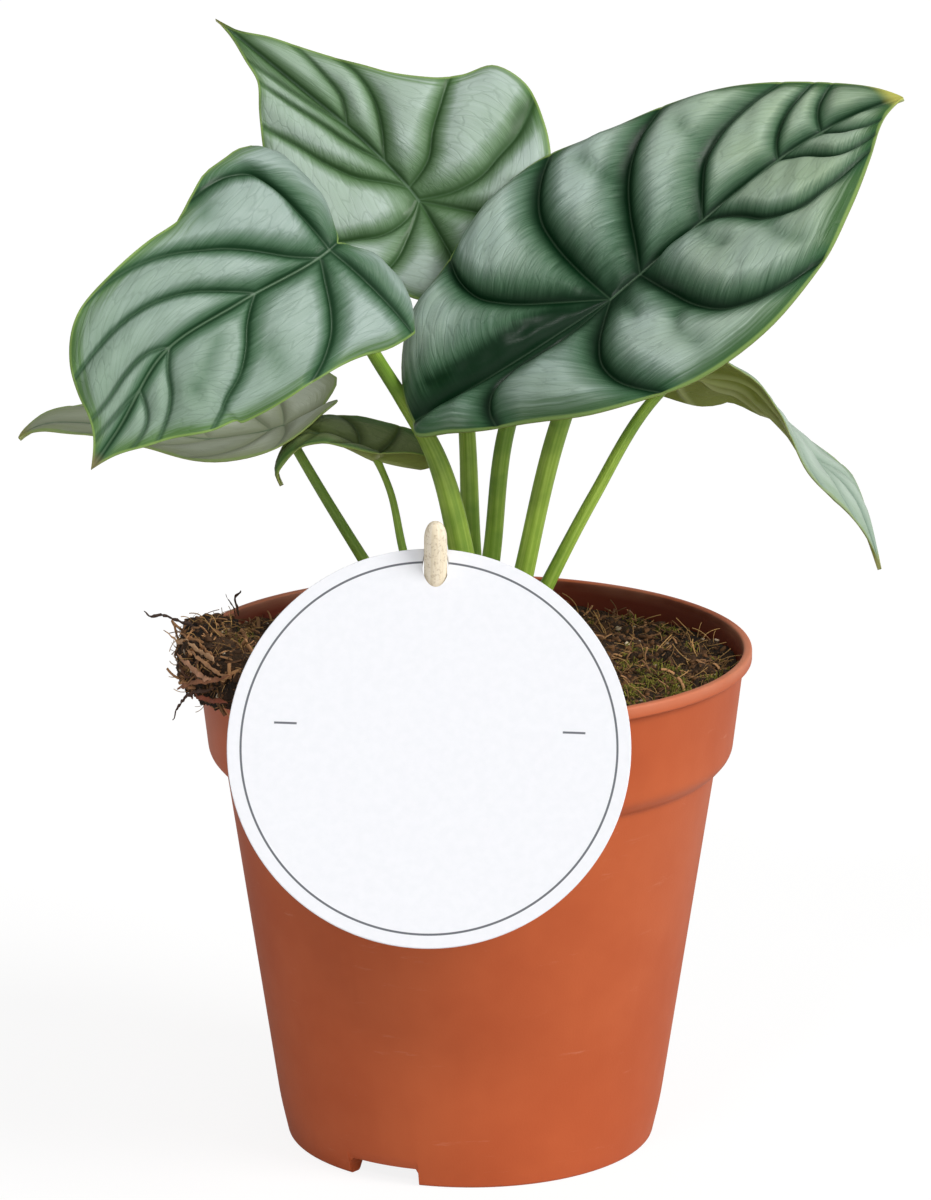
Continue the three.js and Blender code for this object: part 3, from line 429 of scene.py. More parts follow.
leaves = {
    "front_right": {
        "at": (29, -12, 186), "heading": (0.82, 0.156, 0.548), "face": (-0.4, -0.53, 0.75),
        "spine": [(-50, 7, -3), (-25, 1, 0), (0, 0, 0), (37, -1, 1), (75, 3, -3)],
        "stalkAt": 2, "rise": {"left": (12, 12), "right": (10, 10)}, "curl": {"left": -0.25, "right": -0.35},
        "left": [(-49, 0), (-49, 6), (-46, 17), (-41, 25.5), (-30, 32), (-18, 37.5), (-6, 41.8), (4, 43.2),
                 (16, 40.6), (36, 35), (52, 27.2), (67, 14), (73, 5), (75, 0)],
        "right": [(-49, 0), (-49, 4), (-41, 9.5), (-27.5, 19), (-16, 29.5), (-4, 34.5), (11, 37), (25, 36),
                  (36, 31), (48, 21), (59, 11.5), (71, 1.5), (75, 0)],
        "veins": [(0, 0.28, 0.2), (0, 0.45, 0.41), (8, 0.62, 0.62), (25, 0.77, 0.75), (46, 0.87, 0.85),
                  (57, 0.93, 0.92)],
        "ribShift": [(0, 0), (16, 2.4), (36, 4.9), (48, 5.7), (60, 4.7), (75, 0)],
        "paths": {
            "left": [[(-8.8, 6.5), (-18.9, 14.3), (-24.6, 20.3), (-26.8, 26.8), (-26.2, 33.2)],
                     [(-1.9, 10.2), (-2.7, 19.7), (-2.1, 28.1), (0.2, 34.3), (7, 42)],
                     [(10.6, 7.9), (13.8, 16.5), (17.3, 23.4), (22.3, 29.4), (34, 35)],
                     [(28.7, 9.7), (33.1, 15.4), (38.8, 18.9), (46.6, 21.1), (59, 21.5)],
                     [(48.3, 9.4), (52.4, 12.9), (64, 16.8)],
                     [(59.6, 9.7), (67, 14)]],
            "right": [[(-13.5, 2.8), (-25, 3), (-30.3, 5), (-32, 9), (-31.5, 15)],
                      [(-4, 5.5), (-7.9, 11.6), (-9.9, 17.7), (-9.5, 24), (-3, 34)],
                      [(10.9, 10.2), (14.2, 19.6), (18.1, 25), (23.4, 28), (38, 29.6)],
                      [(31.4, 2.9), (35.2, 9.2), (40.6, 12.5), (47.2, 12.4), (61, 9)],
                      [(51, 0.4), (54.4, 5.4), (64.5, 6.5)],
                      [(60.5, 0.5), (68, 3.6)]],
        },
        "creases": {
            "left": [[(13.4, 38.7), (11.9, 34.6), (12.5, 29.3), (16, 22)],
                     [(36.7, 29.6), (34.4, 25.9), (34.5, 21.3), (37, 18)],
                     [(-6, 2.6), (-18, 4.2), (-30.8, 4.6), (-40.6, 5), (-47, 6)]],
            "right": [[(12.6, 17), (8.8, 21.1), (8.2, 27.2), (13, 36)],
                      [(35, 9.5), (34.1, 15.2), (35.7, 21.7), (40, 27)],
                      [(21.8, 0), (24.6, 9.8), (27.1, 16.4)], [(2.6, 2.5), (2.2, 12.8), (3.2, 19.1)]],
        },
        "puff": 4.6, "wave": 0.6, "waves": 3, "tipFade": 0.3, "veinWide": 5.6, "ribWide": 3.6,
        # the dark band along the rear seam is wide here: partly the seam's own dark green, partly painted
        # shade in the folded rear of the blade
        "seamWide": (13, 9), "valley": 3.8,
    },
    "front_left": {
        "at": (-29, -20, 198), "heading": (-0.674, -0.536, -0.508), "face": (0.296, -0.825, 0.479),
        "spine": [(-7.4, 0, -15), (-6.9, 0, -8), (-5, 0, -2.8), (-2.2, 0, -0.3), (0, 0, 0), (24, -4, 2),
                  (43, -6.5, 1),
                  (61, -1, -3), (71, 1.5, -7)],
        "stalkAt": 4, "rise": {"left": (4, 4), "right": (4, 4)}, "curl": {"left": -0.5, "right": -0.5},
        "left": [(-3, 0), (-10, 5), (-14, 13), (-11, 20), (-4, 24.5), (2, 24), (8, 22), (20, 21.8), (33, 22),
                 (45, 20.5), (52.5, 17.8), (60, 8.8), (67, 2.4), (72, 0)],
        "right": [(-3, 0), (-10, 6), (-14, 15), (-11, 23), (-3, 27.5), (8, 28.3), (15, 27.5), (20, 24.5),
                  (25, 21.2), (33, 20.3), (42, 19), (47, 18.8), (54, 15.5), (60, 10.5), (66, 3.6), (72, 0)],
        "veins": [(0, 0.34, 0.3), (3, 0.56, 0.5), (20, 0.72, 0.7), (42, 0.82, 0.82), (53, 0.91, 0.91)],
        "paths": {
            "left": [[(-0.5, 4), (-1.2, 12.4), (-2, 24)],
                     [(5.9, 5.5), (8.1, 10.5), (10.8, 15), (14.8, 18.8), (20, 21.6)],
                     [(25.7, 4.8), (28.7, 9.1), (32.6, 12.9), (40, 15.6), (53, 16)],
                     [(46.3, 2.9), (50.9, 6.1), (60.5, 8)],
                     [(57.8, 4.2), (64.5, 4.5)]],
            "right": [[(-0.2, 9.5), (0.2, 16.5), (2.7, 21.5), (9.2, 24.2), (21, 23.5)],
                      [(8.9, 3.4), (16.2, 8.4), (24, 12.9), (31.4, 15.7), (46, 18.6)],
                      [(26.2, 3.9), (32.2, 6.9), (38.2, 8.8), (44.3, 10.2), (57.5, 12.8)],
                      [(45.6, 2.3), (51.9, 4), (57.9, 4.7), (64, 5.6)],
                      [(59.5, 1.8), (67, 2.8)]],
        },
        "creases": {
            "left": [[(29, 1.5), (35, 5.6), (43.2, 9.2), (52.3, 9.3)],
                     [(24.5, 6), (25.5, 9.9), (25.7, 14.6), (27.7, 20.4)]],
            "right": [[(17, 25), (20.5, 19.5), (24, 14.5)]],
        },
        "puff": 3.5, "wave": 0.8, "waves": 3, "tipFade": 1.15, "veinWide": 3.1, "ribWide": 2.2,
        "seamWide": (3.6, 3.6), "valley": 3,
    },
    "back": {
        "at": (-11, 26, 199.5), "heading": (-0.739, 0.442, 0.508), "face": (-0.1, -0.8, 0.59),
        "spine": [(-17, 6, -2), (-8.5, 3, 0), (0, 0, 0), (17, -2.5, 1), (38.5, -3.5, 0), (66, -5, -4)],
        "stalkAt": 2, "rise": {"left": (6, 6), "right": (14, 14)}, "curl": {"left": -0.3, "right": -0.5},
        "left": [(-18, 0), (-23, 6), (-19, 12), (-13, 16), (-6, 21.5), (10, 26), (23.5, 24), (33, 16.5),
                 (40, 10.5), (46.5, 5.2), (53, 3), (60, 0.9), (66, 0)],
        "right": [(-18, 0), (-22, 8), (-17, 17.5), (-10, 26.5), (-1, 31.5), (6, 34), (11.5, 32), (14.5, 25),
                  (18.5, 19.5), (24, 15), (31, 12), (42, 8), (52, 4.4), (60, 0.9), (66, 0)],
        "veins": [(0, 0.27, 0.3), (0.5, 0.5, 0.44), (4, 0.66, 0.57), (12, 0.76, 0.68), (24, 0.85, 0.8)],
        "paths": {
            "left": [[(-6, 5.5), (-10, 11), (-11.5, 17)],
                     [(-2.5, 4.5), (-3.4, 10.6), (-0.7, 16.4), (11, 26)],
                     [(7.3, 2.5), (13.4, 7.2), (20.5, 9.7), (27.4, 10.8), (37.5, 12.6)],
                     [(20, 2.6), (29.2, 3.6), (35.9, 4.4), (46.5, 5.2)],
                     [(35, 1.6), (44, 2.4), (53, 3)]],
            "right": [[(-7, 7), (-12, 13), (-14, 21.5)],
                      [(-2.7, 7.6), (-3, 13.7), (-1.4, 19.8), (-0.3, 24.6), (3.5, 33)],
                      [(5.8, 7), (9.7, 12.1), (12.5, 17), (15.6, 23)],
                      [(17.4, 4.4), (23.2, 8), (29.7, 9.9), (37, 10)],
                      [(28.9, 3.8), (36.5, 5.4), (47.5, 6)]],
        },
        "creases": {"right": [[(5, 33.5), (2, 26), (1, 21)]]},
        "puff": 3.4, "wave": 0.8, "waves": 3, "tipFade": 1.3, "veinWide": 2.9, "ribWide": 2.6,
        "seamWide": (4, 4), "valley": 3,
    },
    "low_left": {
        "at": (-39.9, 11, 154), "heading": (-0.99, 0.08, -0.04), "face": (-0.1, -0.12, 0.98),
        "spine": [(-10, -5, 3.7), (0, 0, 0), (12, 4, -1.2), (28, 6, 1), (42, 7, 4), (51, 7.7, 4),
                  (55, 8.2, 2.2),
                  (58, 9.8, -0.3)],
        "stalkAt": 1, "rise": {"left": (4, -10), "right": (30, 12)}, "curl": {"left": -0.4, "right": -0.2},
        "left": [(-10, 0), (-12, 4), (-6, 8), (2, 10.5), (11, 11), (20, 10.5), (30, 7.5), (40, 5),
                 (50, 3), (58, 0)],
        "right": [(-10, 0), (-16, 5), (-12.5, 12), (3, 17), (17, 17), (31, 13), (43, 7), (52, 3.5), (58, 0)],
        "veins": [(0, 0.3, 0.3), (3, 0.52, 0.52), (16, 0.7, 0.7), (32, 0.85, 0.85)],
        "puff": 0.7, "wave": 0.5, "waves": 2, "veinWide": 2.2, "ribWide": 1.8, "seamWide": (1.6, 1.6),
        "valley": 1.5, "fineness": 0.6,
    },
    "small_arching": {
        "at": (-20, 3.6, 149), "heading": (-0.95, 0, 0.25), "face": (0.2, -0.2, 0.95),
        "spine": [(-11, 2, 0.5), (0, 0, 0), (7, -1.2, 0.8), (13, -1.3, 1.2), (17, 0, -0.2), (20, 2, -4.8),
                  (20.2, 3.7, -8.1), (18.5, 4.5, -10.5)],
        "stalkAt": 1, "rise": {"left": (60, -30), "right": (45, -20)}, "curl": {"left": -1, "right": -1},
        "left": [(-10, 0), (-13, 3), (-9, 6), (0, 7.5), (9, 7.5), (17, 5.5), (23, 3.2), (28, 1.3), (30.5, 0)],
        "right": [(-10, 0), (-13, 4), (-9, 8), (0, 10), (9, 9.5), (17, 6.3), (23, 3.2), (28, 1.3), (30.5, 0)],
        "veins": [(0, 0.34, 0.34), (4, 0.58, 0.58), (13, 0.78, 0.78)],
        "puff": 0.8, "wave": 0.5, "waves": 2, "veinWide": 1.5, "ribWide": 1.2, "seamWide": (1, 1),
        "valley": 1.1, "fineness": 0.6,
    },
    "drooping_right": {
        "at": (45.2, 13, 165.9), "heading": (0.85, 0, -0.35), "face": (0.35, 0.4, 0.85),
        "spine": [(-8, -2.2, -0.2), (0, 0, 0), (7.3, -0.2, 0.3), (13, -0.5, 1), (21.2, 0, -1.7),
                  (33.5, 1.8, -7.1),
                  (42, 2.5, -10.3), (54.6, 6.3, -21)],
        "stalkAt": 1, "twist": (0, 0, -8, -19, -27, -45, -57, -57),
        "rise": {"left": (-16, -16), "right": (16, 16)}, "curl": {"left": -0.75, "right": -0.12},
        "left": [(-9, 0), (-12, 6), (-7, 11), (3, 13), (16, 13.5), (30, 12), (42, 8.5), (52, 4.5),
                 (60, 1), (64, 0)],
        "right": [(-9, 0), (-12, 6), (-7, 11), (3, 13), (16, 13), (30, 11), (42, 7.5), (52, 4), (60, 1),
                  (64, 0)],
        "veins": [(0, 0.3, 0.3), (4, 0.54, 0.54), (18, 0.72, 0.72), (34, 0.86, 0.86)],
        "puff": 1.5, "wave": 0.6, "waves": 2, "veinWide": 1.8, "ribWide": 1.4, "seamWide": (1.2, 1.2),
        "valley": 1.5, "fineness": 0.6,
    },
    "hidden_back_right": {
        "at": (17, 7, 179), "heading": (0.8, 0.25, 0.55), "face": (-0.35, -0.5, 0.8),
        "spine": [(-16, 0, -2), (-8, 0, 0), (0, 0, 0), (18, 0, 1), (40, 1, -1)],
        "stalkAt": 2, "rise": {"left": (16, 16), "right": (16, 16)}, "curl": {"left": -0.5, "right": -0.5},
        "left": [(-14, 0), (-17, 5), (-13, 11), (-4, 16), (8, 17.5), (20, 14), (30, 8), (37, 2.5), (41, 0)],
        "right": [(-14, 0), (-17, 5), (-13, 11), (-4, 16), (8, 17), (20, 13.5), (30, 7.5), (37, 2.5),
                  (41, 0)],
        "veins": [(0, 0.3, 0.3), (2, 0.52, 0.52), (12, 0.7, 0.7), (24, 0.85, 0.85)],
        "puff": 1.6, "wave": 0.5, "waves": 2, "veinWide": 2.8, "ribWide": 2, "seamWide": (2, 2),
        "valley": 1.8, "fineness": 0.6,
    },
}

bladeForm = {
    "thickness": 0.8,
    "marginThickness": 0.42,
    "perPanel": 24,  # columns of points from one vein to the next
    "rows": 58,
    "stations": 420,  # places along the spine where the bend is reckoned
    "veinBow": 0.16,  # how far a vein without a path of its own bends towards the tip
    "steepness": 1.25,
    "creaseDepth": 0.3,
    "creaseWide": 2.1,
    "marginWide": 2.6,
    "groove": 0.3,  # how deep the veins' own lines lie in the upper side
    "grooveWide": 0.5,
    "keel": 0.75,  # how far the midrib stands out of the underside
    "unevenness": 0.16,
}


def leafAxes(leaf):
    heading = Vector(leaf["heading"]).normalized()
    face = Vector(leaf["face"])
    face = (face - heading * face.dot(heading)).normalized()
    return heading, face.cross(heading), face


def ribShift(leaf):
    line = smoothLine(leaf.get("ribShift", [(0, 0), (1, 0)]))
    drawn = np.array(line.drawn(120))
    return lambda x: np.interp(x, drawn[:, 0], drawn[:, 1])


def bladeBend(leaf):
    # takes points of the flat blade and their heights above it to their places on the plant
    axes = np.array([list(v) for v in leafAxes(leaf)])
    spine = smoothLine(leaf["spine"])
    root = spine.at[leaf["stalkAt"]]
    twist = leaf.get("twist", [0] * len(leaf["spine"]))
    shift = ribShift(leaf)
    rearward, beyond = 30, 12  # how far the flat blade may pass the ends of its spine
    places = np.linspace(-rearward, spine.length + beyond, bladeForm["stations"])
    stations = []
    for s in places:
        along = Vector(spine.point(s + 0.5) - spine.point(s - 0.5)).normalized()
        up = along.cross(Vector((0, 1, 0))).normalized()
        up.rotate(Quaternion(along, -math.radians(float(np.interp(s, spine.at, twist)))))
        stations.append([*spine.point(s), *up, *up.cross(along)])
    stations = np.array(stations)

    def bend(x, y, height, side):
        # y is measured from the midrib, which may run aside of the leaf's middle line
        s = root + x
        here = np.stack([np.interp(s, places, stations[:, k]) for k in range(9)], axis=1)
        base, up, across = here[:, :3], here[:, 3:6], here[:, 6:]
        base = base + across * shift(x)[:, None]
        sign = -1 if side == "right" else 1
        start = np.radians(mix(*leaf["rise"][side], np.clip(s / spine.length, 0, 1)))
        curl = math.radians(leaf["curl"][side])
        end = start + curl * y
        out = sign * (np.sin(end) - np.sin(start)) / curl
        lift = (np.cos(start) - np.cos(end)) / curl
        normal = up * np.cos(end)[:, None] - across * (sign * np.sin(end))[:, None]
        local = base + across * out[:, None] + up * lift[:, None] + normal * height[:, None]
        return np.array(leaf["at"]) + local @ axes

    return bend


def shareNearest(outline, place):
    shares = [k / 400 for k in range(401)]
    return min(shares, key=lambda share: np.linalg.norm(outline.point(outline.length * share) - place))


def veinLines(leaf, side):
    # the seam behind the stalk and the veins, each as [line, its end as a share of the outline]
    outline = smoothLine(leaf[side])
    shift = ribShift(leaf)
    sign = -1 if side == "right" else 1
    lines = [(smoothLine([(0, 0), (leaf[side][0][0], 0)]), 0)]
    for k, (start, *ends) in enumerate(leaf["veins"]):
        root = (start, sign * shift(start))
        if "paths" in leaf:
            path = leaf["paths"][side][k]
            share = shareNearest(outline, path[-1])
            lines.append((smoothLine([root, *path[:-1], outline.point(outline.length * share)]), share))
            continue
        share = ends[0 if side == "left" else 1]
        end = outline.point(outline.length * share)
        bow = bladeForm["veinBow"] * clamp(share / 0.12, 0, 1)
        reach = end - root
        aside = np.array([-reach[1] * 0.55, reach[0] * 0.55 + reach[1] * 0.2]) * bow * 4
        middles = [root + reach * r + aside * r * (1 - r) for r in (0.3, 0.65)]
        lines.append((smoothLine([root, *middles, end]), share))
    return outline, lines


def bladeNet(leaf, side, rows, perPanel):
    # columns of flat points from the midrib to the outline, each with its panel and place across it
    outline, lines = veinLines(leaf, side)
    shift = ribShift(leaf)
    sign = -1 if side == "right" else 1
    tip = np.array([leaf[side][-1][0], 0.0])
    starts = [0, *[v[0] for v in leaf["veins"]], tip[0]]
    columns = []
    for k, (start, after) in enumerate(zip(starts, starts[1:])):
        line, share = lines[k]
        last = k == len(lines) - 1
        nextLine, nextShare = (None, 1) if last else lines[k + 1]
        nextRoot, nextRim = (tip, tip) if last else (nextLine.points[0], nextLine.points[-1])
        swell = clamp((nextShare - share) / 0.13, 0.35, 1)
        for n in range(perPanel):
            across = 0.5 - 0.5 * math.cos(math.pi * n / perPanel)
            root = mix(start, after, across)
            place = mix(share, nextShare, across)
            toRoot = np.array([root, sign * shift(root)]) - mix(line.points[0], nextRoot, across)
            toRim = outline.point(outline.length * place) - mix(line.points[-1], nextRim, across)
            points = []
            for row in rows:
                there = tip if last else nextLine.point(nextLine.length * row)
                point = mix(line.point(line.length * row), there, across)
                points.append(point + row**2 * toRim + (1 - row) ** 2 * toRoot)
            columns.append({"start": root, "across": across, "panel": k, "swell": swell, "share": place,
                            "points": points})
    columns.append({"start": tip[0], "across": 0, "panel": len(lines), "swell": 0.35, "share": 1,
                    "points": [tip] * len(rows)})
    return outline, lines, columns


def marginWave(leaf, side, share, row):
    phase = 0 if side == "left" else 0.35
    wave = leaf["wave"] * np.sin(2 * math.pi * (leaf["waves"] * share + phase)) * row**3
    return wave * np.clip(share * (1 - share) * 8, 0, 1)


def gapToLine(points, line):
    # shortest distance of each flat point to a line of flat points
    points = np.asarray(points)
    line = np.asarray(line)
    nearest = np.full(len(points), 1e9)
    for a, b in zip(line, line[1:]):
        step = b - a
        share = np.clip((points - a) @ step / max(step @ step, 1e-9), 0, 1)
        nearest = np.minimum(nearest, np.linalg.norm(points - a - share[:, None] * step, axis=1))
    return nearest


def softLeast(values):
    # a smooth lower bound of several distances, so that bands melt into each other where they meet
    power = 4
    total = sum((np.maximum(v, 0.02)) ** -power for v in values)
    return total ** (-1 / power)


def bladeRelief(name, leaf, side, rows, bend):
    # one side of a blade: its net, both sides' points in space, and how near each lies to veins and margin
    form = bladeForm
    outline, lines, columns = bladeNet(leaf, side, rows, round(form["perPanel"] * leaf.get("fineness", 1)))
    shift = ribShift(leaf)
    sign = 1 if side == "left" else -1
    tip = leaf["left"][-1][0]
    flat = np.array([p for column in columns for p in column["points"]])
    x, y = flat[:, 0], flat[:, 1]
    ahead = np.clip(x / tip, 0, 1)
    row = np.array(rows * len(columns))
    swell = np.repeat([c["swell"] for c in columns], len(rows))
    share = np.repeat([c["share"] for c in columns], len(rows))
    stations = [tip * k / 80 for k in range(81)]
    rib = gapToLine(flat, [(s, shift(s) * sign) for s in stations])
    near = [rib / (leaf["ribWide"] * (1 - 0.7 * ahead) + 0.25)]
    gap = rib.copy()
    valleys = 1 - np.exp(-((rib / (leaf["valley"] * 0.8)) ** form["steepness"]))
    fading = leaf.get("tipFade", 0.4) * np.clip(x / tip - 0.25, 0, 1) * 1.6
    for k, (line, _) in enumerate(lines):
        distance = gapToLine(flat, line.drawn(40))
        wide = leaf["seamWide"][0 if side == "left" else 1] * (1 - 0.45 * row)
        if k > 0:
            wide = leaf["veinWide"] * (1 - 0.4 * row) * np.maximum(swell, 0.55) * (1 - 0.5 * ahead)
        near.append(distance / np.maximum(wide, 0.2) + fading)
        gap = np.minimum(gap, distance)
        valley = leaf["valley"] * np.maximum(swell, 0.5)
        valleys = valleys * (1 - np.exp(-((distance / valley) ** form["steepness"])))
    # how near each point lies to a crease, for the painted shade along it
    crease = np.zeros(len(flat))
    for places in leaf.get("creases", {}).get(side, []):
        line = smoothLine(places)
        distance = gapToLine(flat, line.drawn(24)) / form["creaseWide"]
        ends = [np.linalg.norm(flat - line.point(s), axis=1) for s in (0, line.length)]
        fade = np.clip(np.minimum(*ends) / 5, 0, 1) ** 1.5
        crease = np.maximum(crease, fade * np.exp(-(distance**1.3)))
        valleys = valleys * (1 - form["creaseDepth"] * fade * np.exp(-(distance**1.6)))
    rim = gapToLine(flat, outline.drawn(200))
    flanks = 1 - np.exp(-((rim / form["marginWide"]) ** 1.3))
    heights = leaf["puff"] * valleys * (0.45 + 0.55 * swell) * flanks
    heights += marginWave(leaf, side, share, row)
    uneven = np.sin(x / 1.9 + len(name)) * np.cos(sign * y / 1.5)
    uneven = uneven + 0.6 * np.sin(x / 1.1 - sign * y / 1.4)
    heights += form["unevenness"] * uneven * np.minimum(1, gap / 3) * np.minimum(1, rim / 3)
    apart = np.clip(row * 60, 0, 1)  # the midrib's own points stay where both sides meet
    apart[: len(rows)] = 0
    apart[-len(rows):] = 0
    heights *= apart
    away = np.maximum(0, y - sign * shift(x)) * np.clip(row * 1e6, 0, 1)
    away[: len(rows)] = 0
    groove = form["groove"] * np.exp(-((gap / form["grooveWide"]) ** 2)) * (1 - 0.5 * row)
    thickness = mix(form["thickness"], form["marginThickness"], row**2)
    keel = np.where(x > 0, form["keel"] * np.exp(-((rib / 0.7) ** 2)) * (1 - 0.8 * ahead), 0)
    keel = np.maximum(keel, 0.35 * np.exp(-((gap / 0.5) ** 2)) * (1 - row))
    upper = bend(x, away, heights - groove, side)
    lower = bend(x, away, heights - thickness - keel, side)
    flats = np.stack([x / 100, sign * y / 100], axis=1)
    marks = {"veinNear": softLeast(near), "ribGap": rib, "lineGap": gap, "edgeGap": rim, "crease": crease}
    return outline, columns, flats, upper, lower, marks


def makeBlade(name, leaf, material):
    bend = bladeBend(leaf)
    last = round(bladeForm["rows"] * leaf.get("fineness", 1))
    rows = [mix(k / last, 0.5 - 0.5 * math.cos(math.pi * k / last), 0.6) for k in range(last + 1)]
    points, under = [], []
    maps = {"net": [], "flat": []}
    values = {"veinNear": [], "ribGap": [], "lineGap": [], "edgeGap": [], "crease": []}
    middle, nets = {}, {}
    for side in ("left", "right"):
        outline, columns, flats, upper, lower, marks = bladeRelief(name, leaf, side, rows, bend)
        nets[side] = []
        for j, column in enumerate(columns):
            if side == "right" and j == 0:  # both sides share the seam behind the stalk
                nets[side].append(nets["left"][0])
                continue
            indices = []
            panelStart = column["panel"] * 30 + (0 if side == "left" else 500)
            place = (panelStart + column["across"] * 12) / 100
            for i, row in enumerate(rows):
                k = j * len(rows) + i
                onMiddle = i == 0 or j == len(columns) - 1
                key = round(column["start"], 5)
                if onMiddle and key in middle:
                    indices.append(middle[key])
                    continue
                if onMiddle:
                    middle[key] = len(points)
                indices.append(len(points))
                points.append(upper[k])
                under.append(lower[k])
                maps["net"].append((outline.length * 0.3 * row / 100, place))
                maps["flat"].append(flats[k])
                for label, found in marks.items():
                    values[label].append(found[k])
            nets[side].append(indices)
    count = len(points)
    faces, rims = [], []

    def addFace(corners):
        kept = [c for n, c in enumerate(corners) if c != corners[n - 1]]
        if len(set(kept)) > 2:
            faces.append(kept)
            faces.append([c + count for c in reversed(kept)])

    for side, columnNets in nets.items():
        flip = side == "right"
        for before, after in zip(columnNets, columnNets[1:]):
            for i in range(last):
                corners = [before[i], after[i], after[i + 1], before[i + 1]]
                addFace(corners[::-1] if flip else corners)
            if before[last] != after[last]:
                rims.append((after[last], before[last]) if flip else (before[last], after[last]))
    edgePoints, extra = {}, []

    def edgePoint(index):
        # the margin is rounded: a point midway between the upper side and the underside
        if index not in edgePoints:
            edgePoints[index] = 2 * count + len(extra)
            extra.append((points[index] + under[index]) / 2)
        return edgePoints[index]

    for a, b in rims:
        faces.append([a, b, edgePoint(b), edgePoint(a)])
        faces.append([edgePoint(a), edgePoint(b), b + count, a + count])
    piece = meshPiece("blade_look_" + name, points + under + extra, faces, material)
    for label, pairs in maps.items():
        uvFromPoints(piece, label, pairs + pairs + [pairs[i] for i in edgePoints])
    for label, found in values.items():
        edge = [0.0 if label == "edgeGap" else found[i] for i in edgePoints]
        pointValues(piece, label, found + found + edge)
    pointValues(piece, "under", [0] * count + [1] * count + [0.5] * len(extra))
    return carry(piece, "leaf_blade", "blade_" + name)


bladeShades = {
    "silver": (187, 207, 200),
    "silverGreen": (160, 184, 154),
    "deep": (50, 92, 58),  # between the silver and the dark of the veins
    "dark": (10, 36, 20),
    "margin": (84, 122, 62),
    "edge": (146, 174, 92),
    "ribLine": (92, 120, 92),
    "under": (160, 174, 92),
    "underRib": (184, 194, 126),
    "bands": 1.0,  # how strongly the veins are banded
    "tipGreen": 0.3,
    "greenWide": 4.0,  # how far the green of the margin reaches, mm
    # how strongly the rear of the blade, which curves away, is darkened: painted shade
    "rearPaintedShade": 0.1,
    "tip": (150, 148, 84),
}

bladeVariants = {
    "front_right": dict(
        dark=(7, 42, 19), margin=(62, 98, 54), tipGreen=0.2, greenWide=5.0, rearPaintedShade=0.3,
        silverGreen=(170, 192, 162), tip=(200, 196, 96)),
    "front_left": dict(
        silver=(166, 184, 178), silverGreen=(143, 165, 149), deep=(60, 100, 66), dark=(26, 60, 34),
        margin=(88, 124, 68), tipGreen=0.12, rearPaintedShade=0.6, tip=(128, 118, 84)),
    "back": dict(
        silver=(182, 199, 191), silverGreen=(160, 184, 160), deep=(80, 118, 66), dark=(46, 82, 32),
        margin=(104, 136, 88), bands=0.92, tipGreen=0.05, greenWide=2.6),
    "low_left": dict(
        silver=(196, 204, 188), silverGreen=(178, 186, 164), deep=(160, 168, 144), dark=(150, 158, 132),
        margin=(158, 168, 134)),
    "small_arching": dict(
        silver=(140, 154, 108), silverGreen=(122, 138, 86), deep=(92, 108, 56), dark=(74, 90, 42), bands=0.8),
    "drooping_right": dict(
        silver=(200, 214, 206), silverGreen=(184, 200, 188), deep=(160, 180, 164), dark=(140, 162, 146),
        under=(152, 164, 80), margin=(156, 178, 156), edge=(150, 170, 110)),
}

bladeFinish = {
    "roughness": 0.36,
    "roughnessSpread": 0.16,
    "valleyShine": 0.1,
    "feather": 0.72,
    "bandReach": 1.68,
    "fall": 2.25,
    "netShade": 0.12,
    # how strongly the creases are darkened, a painted shade
    "crease": 0.32,
}


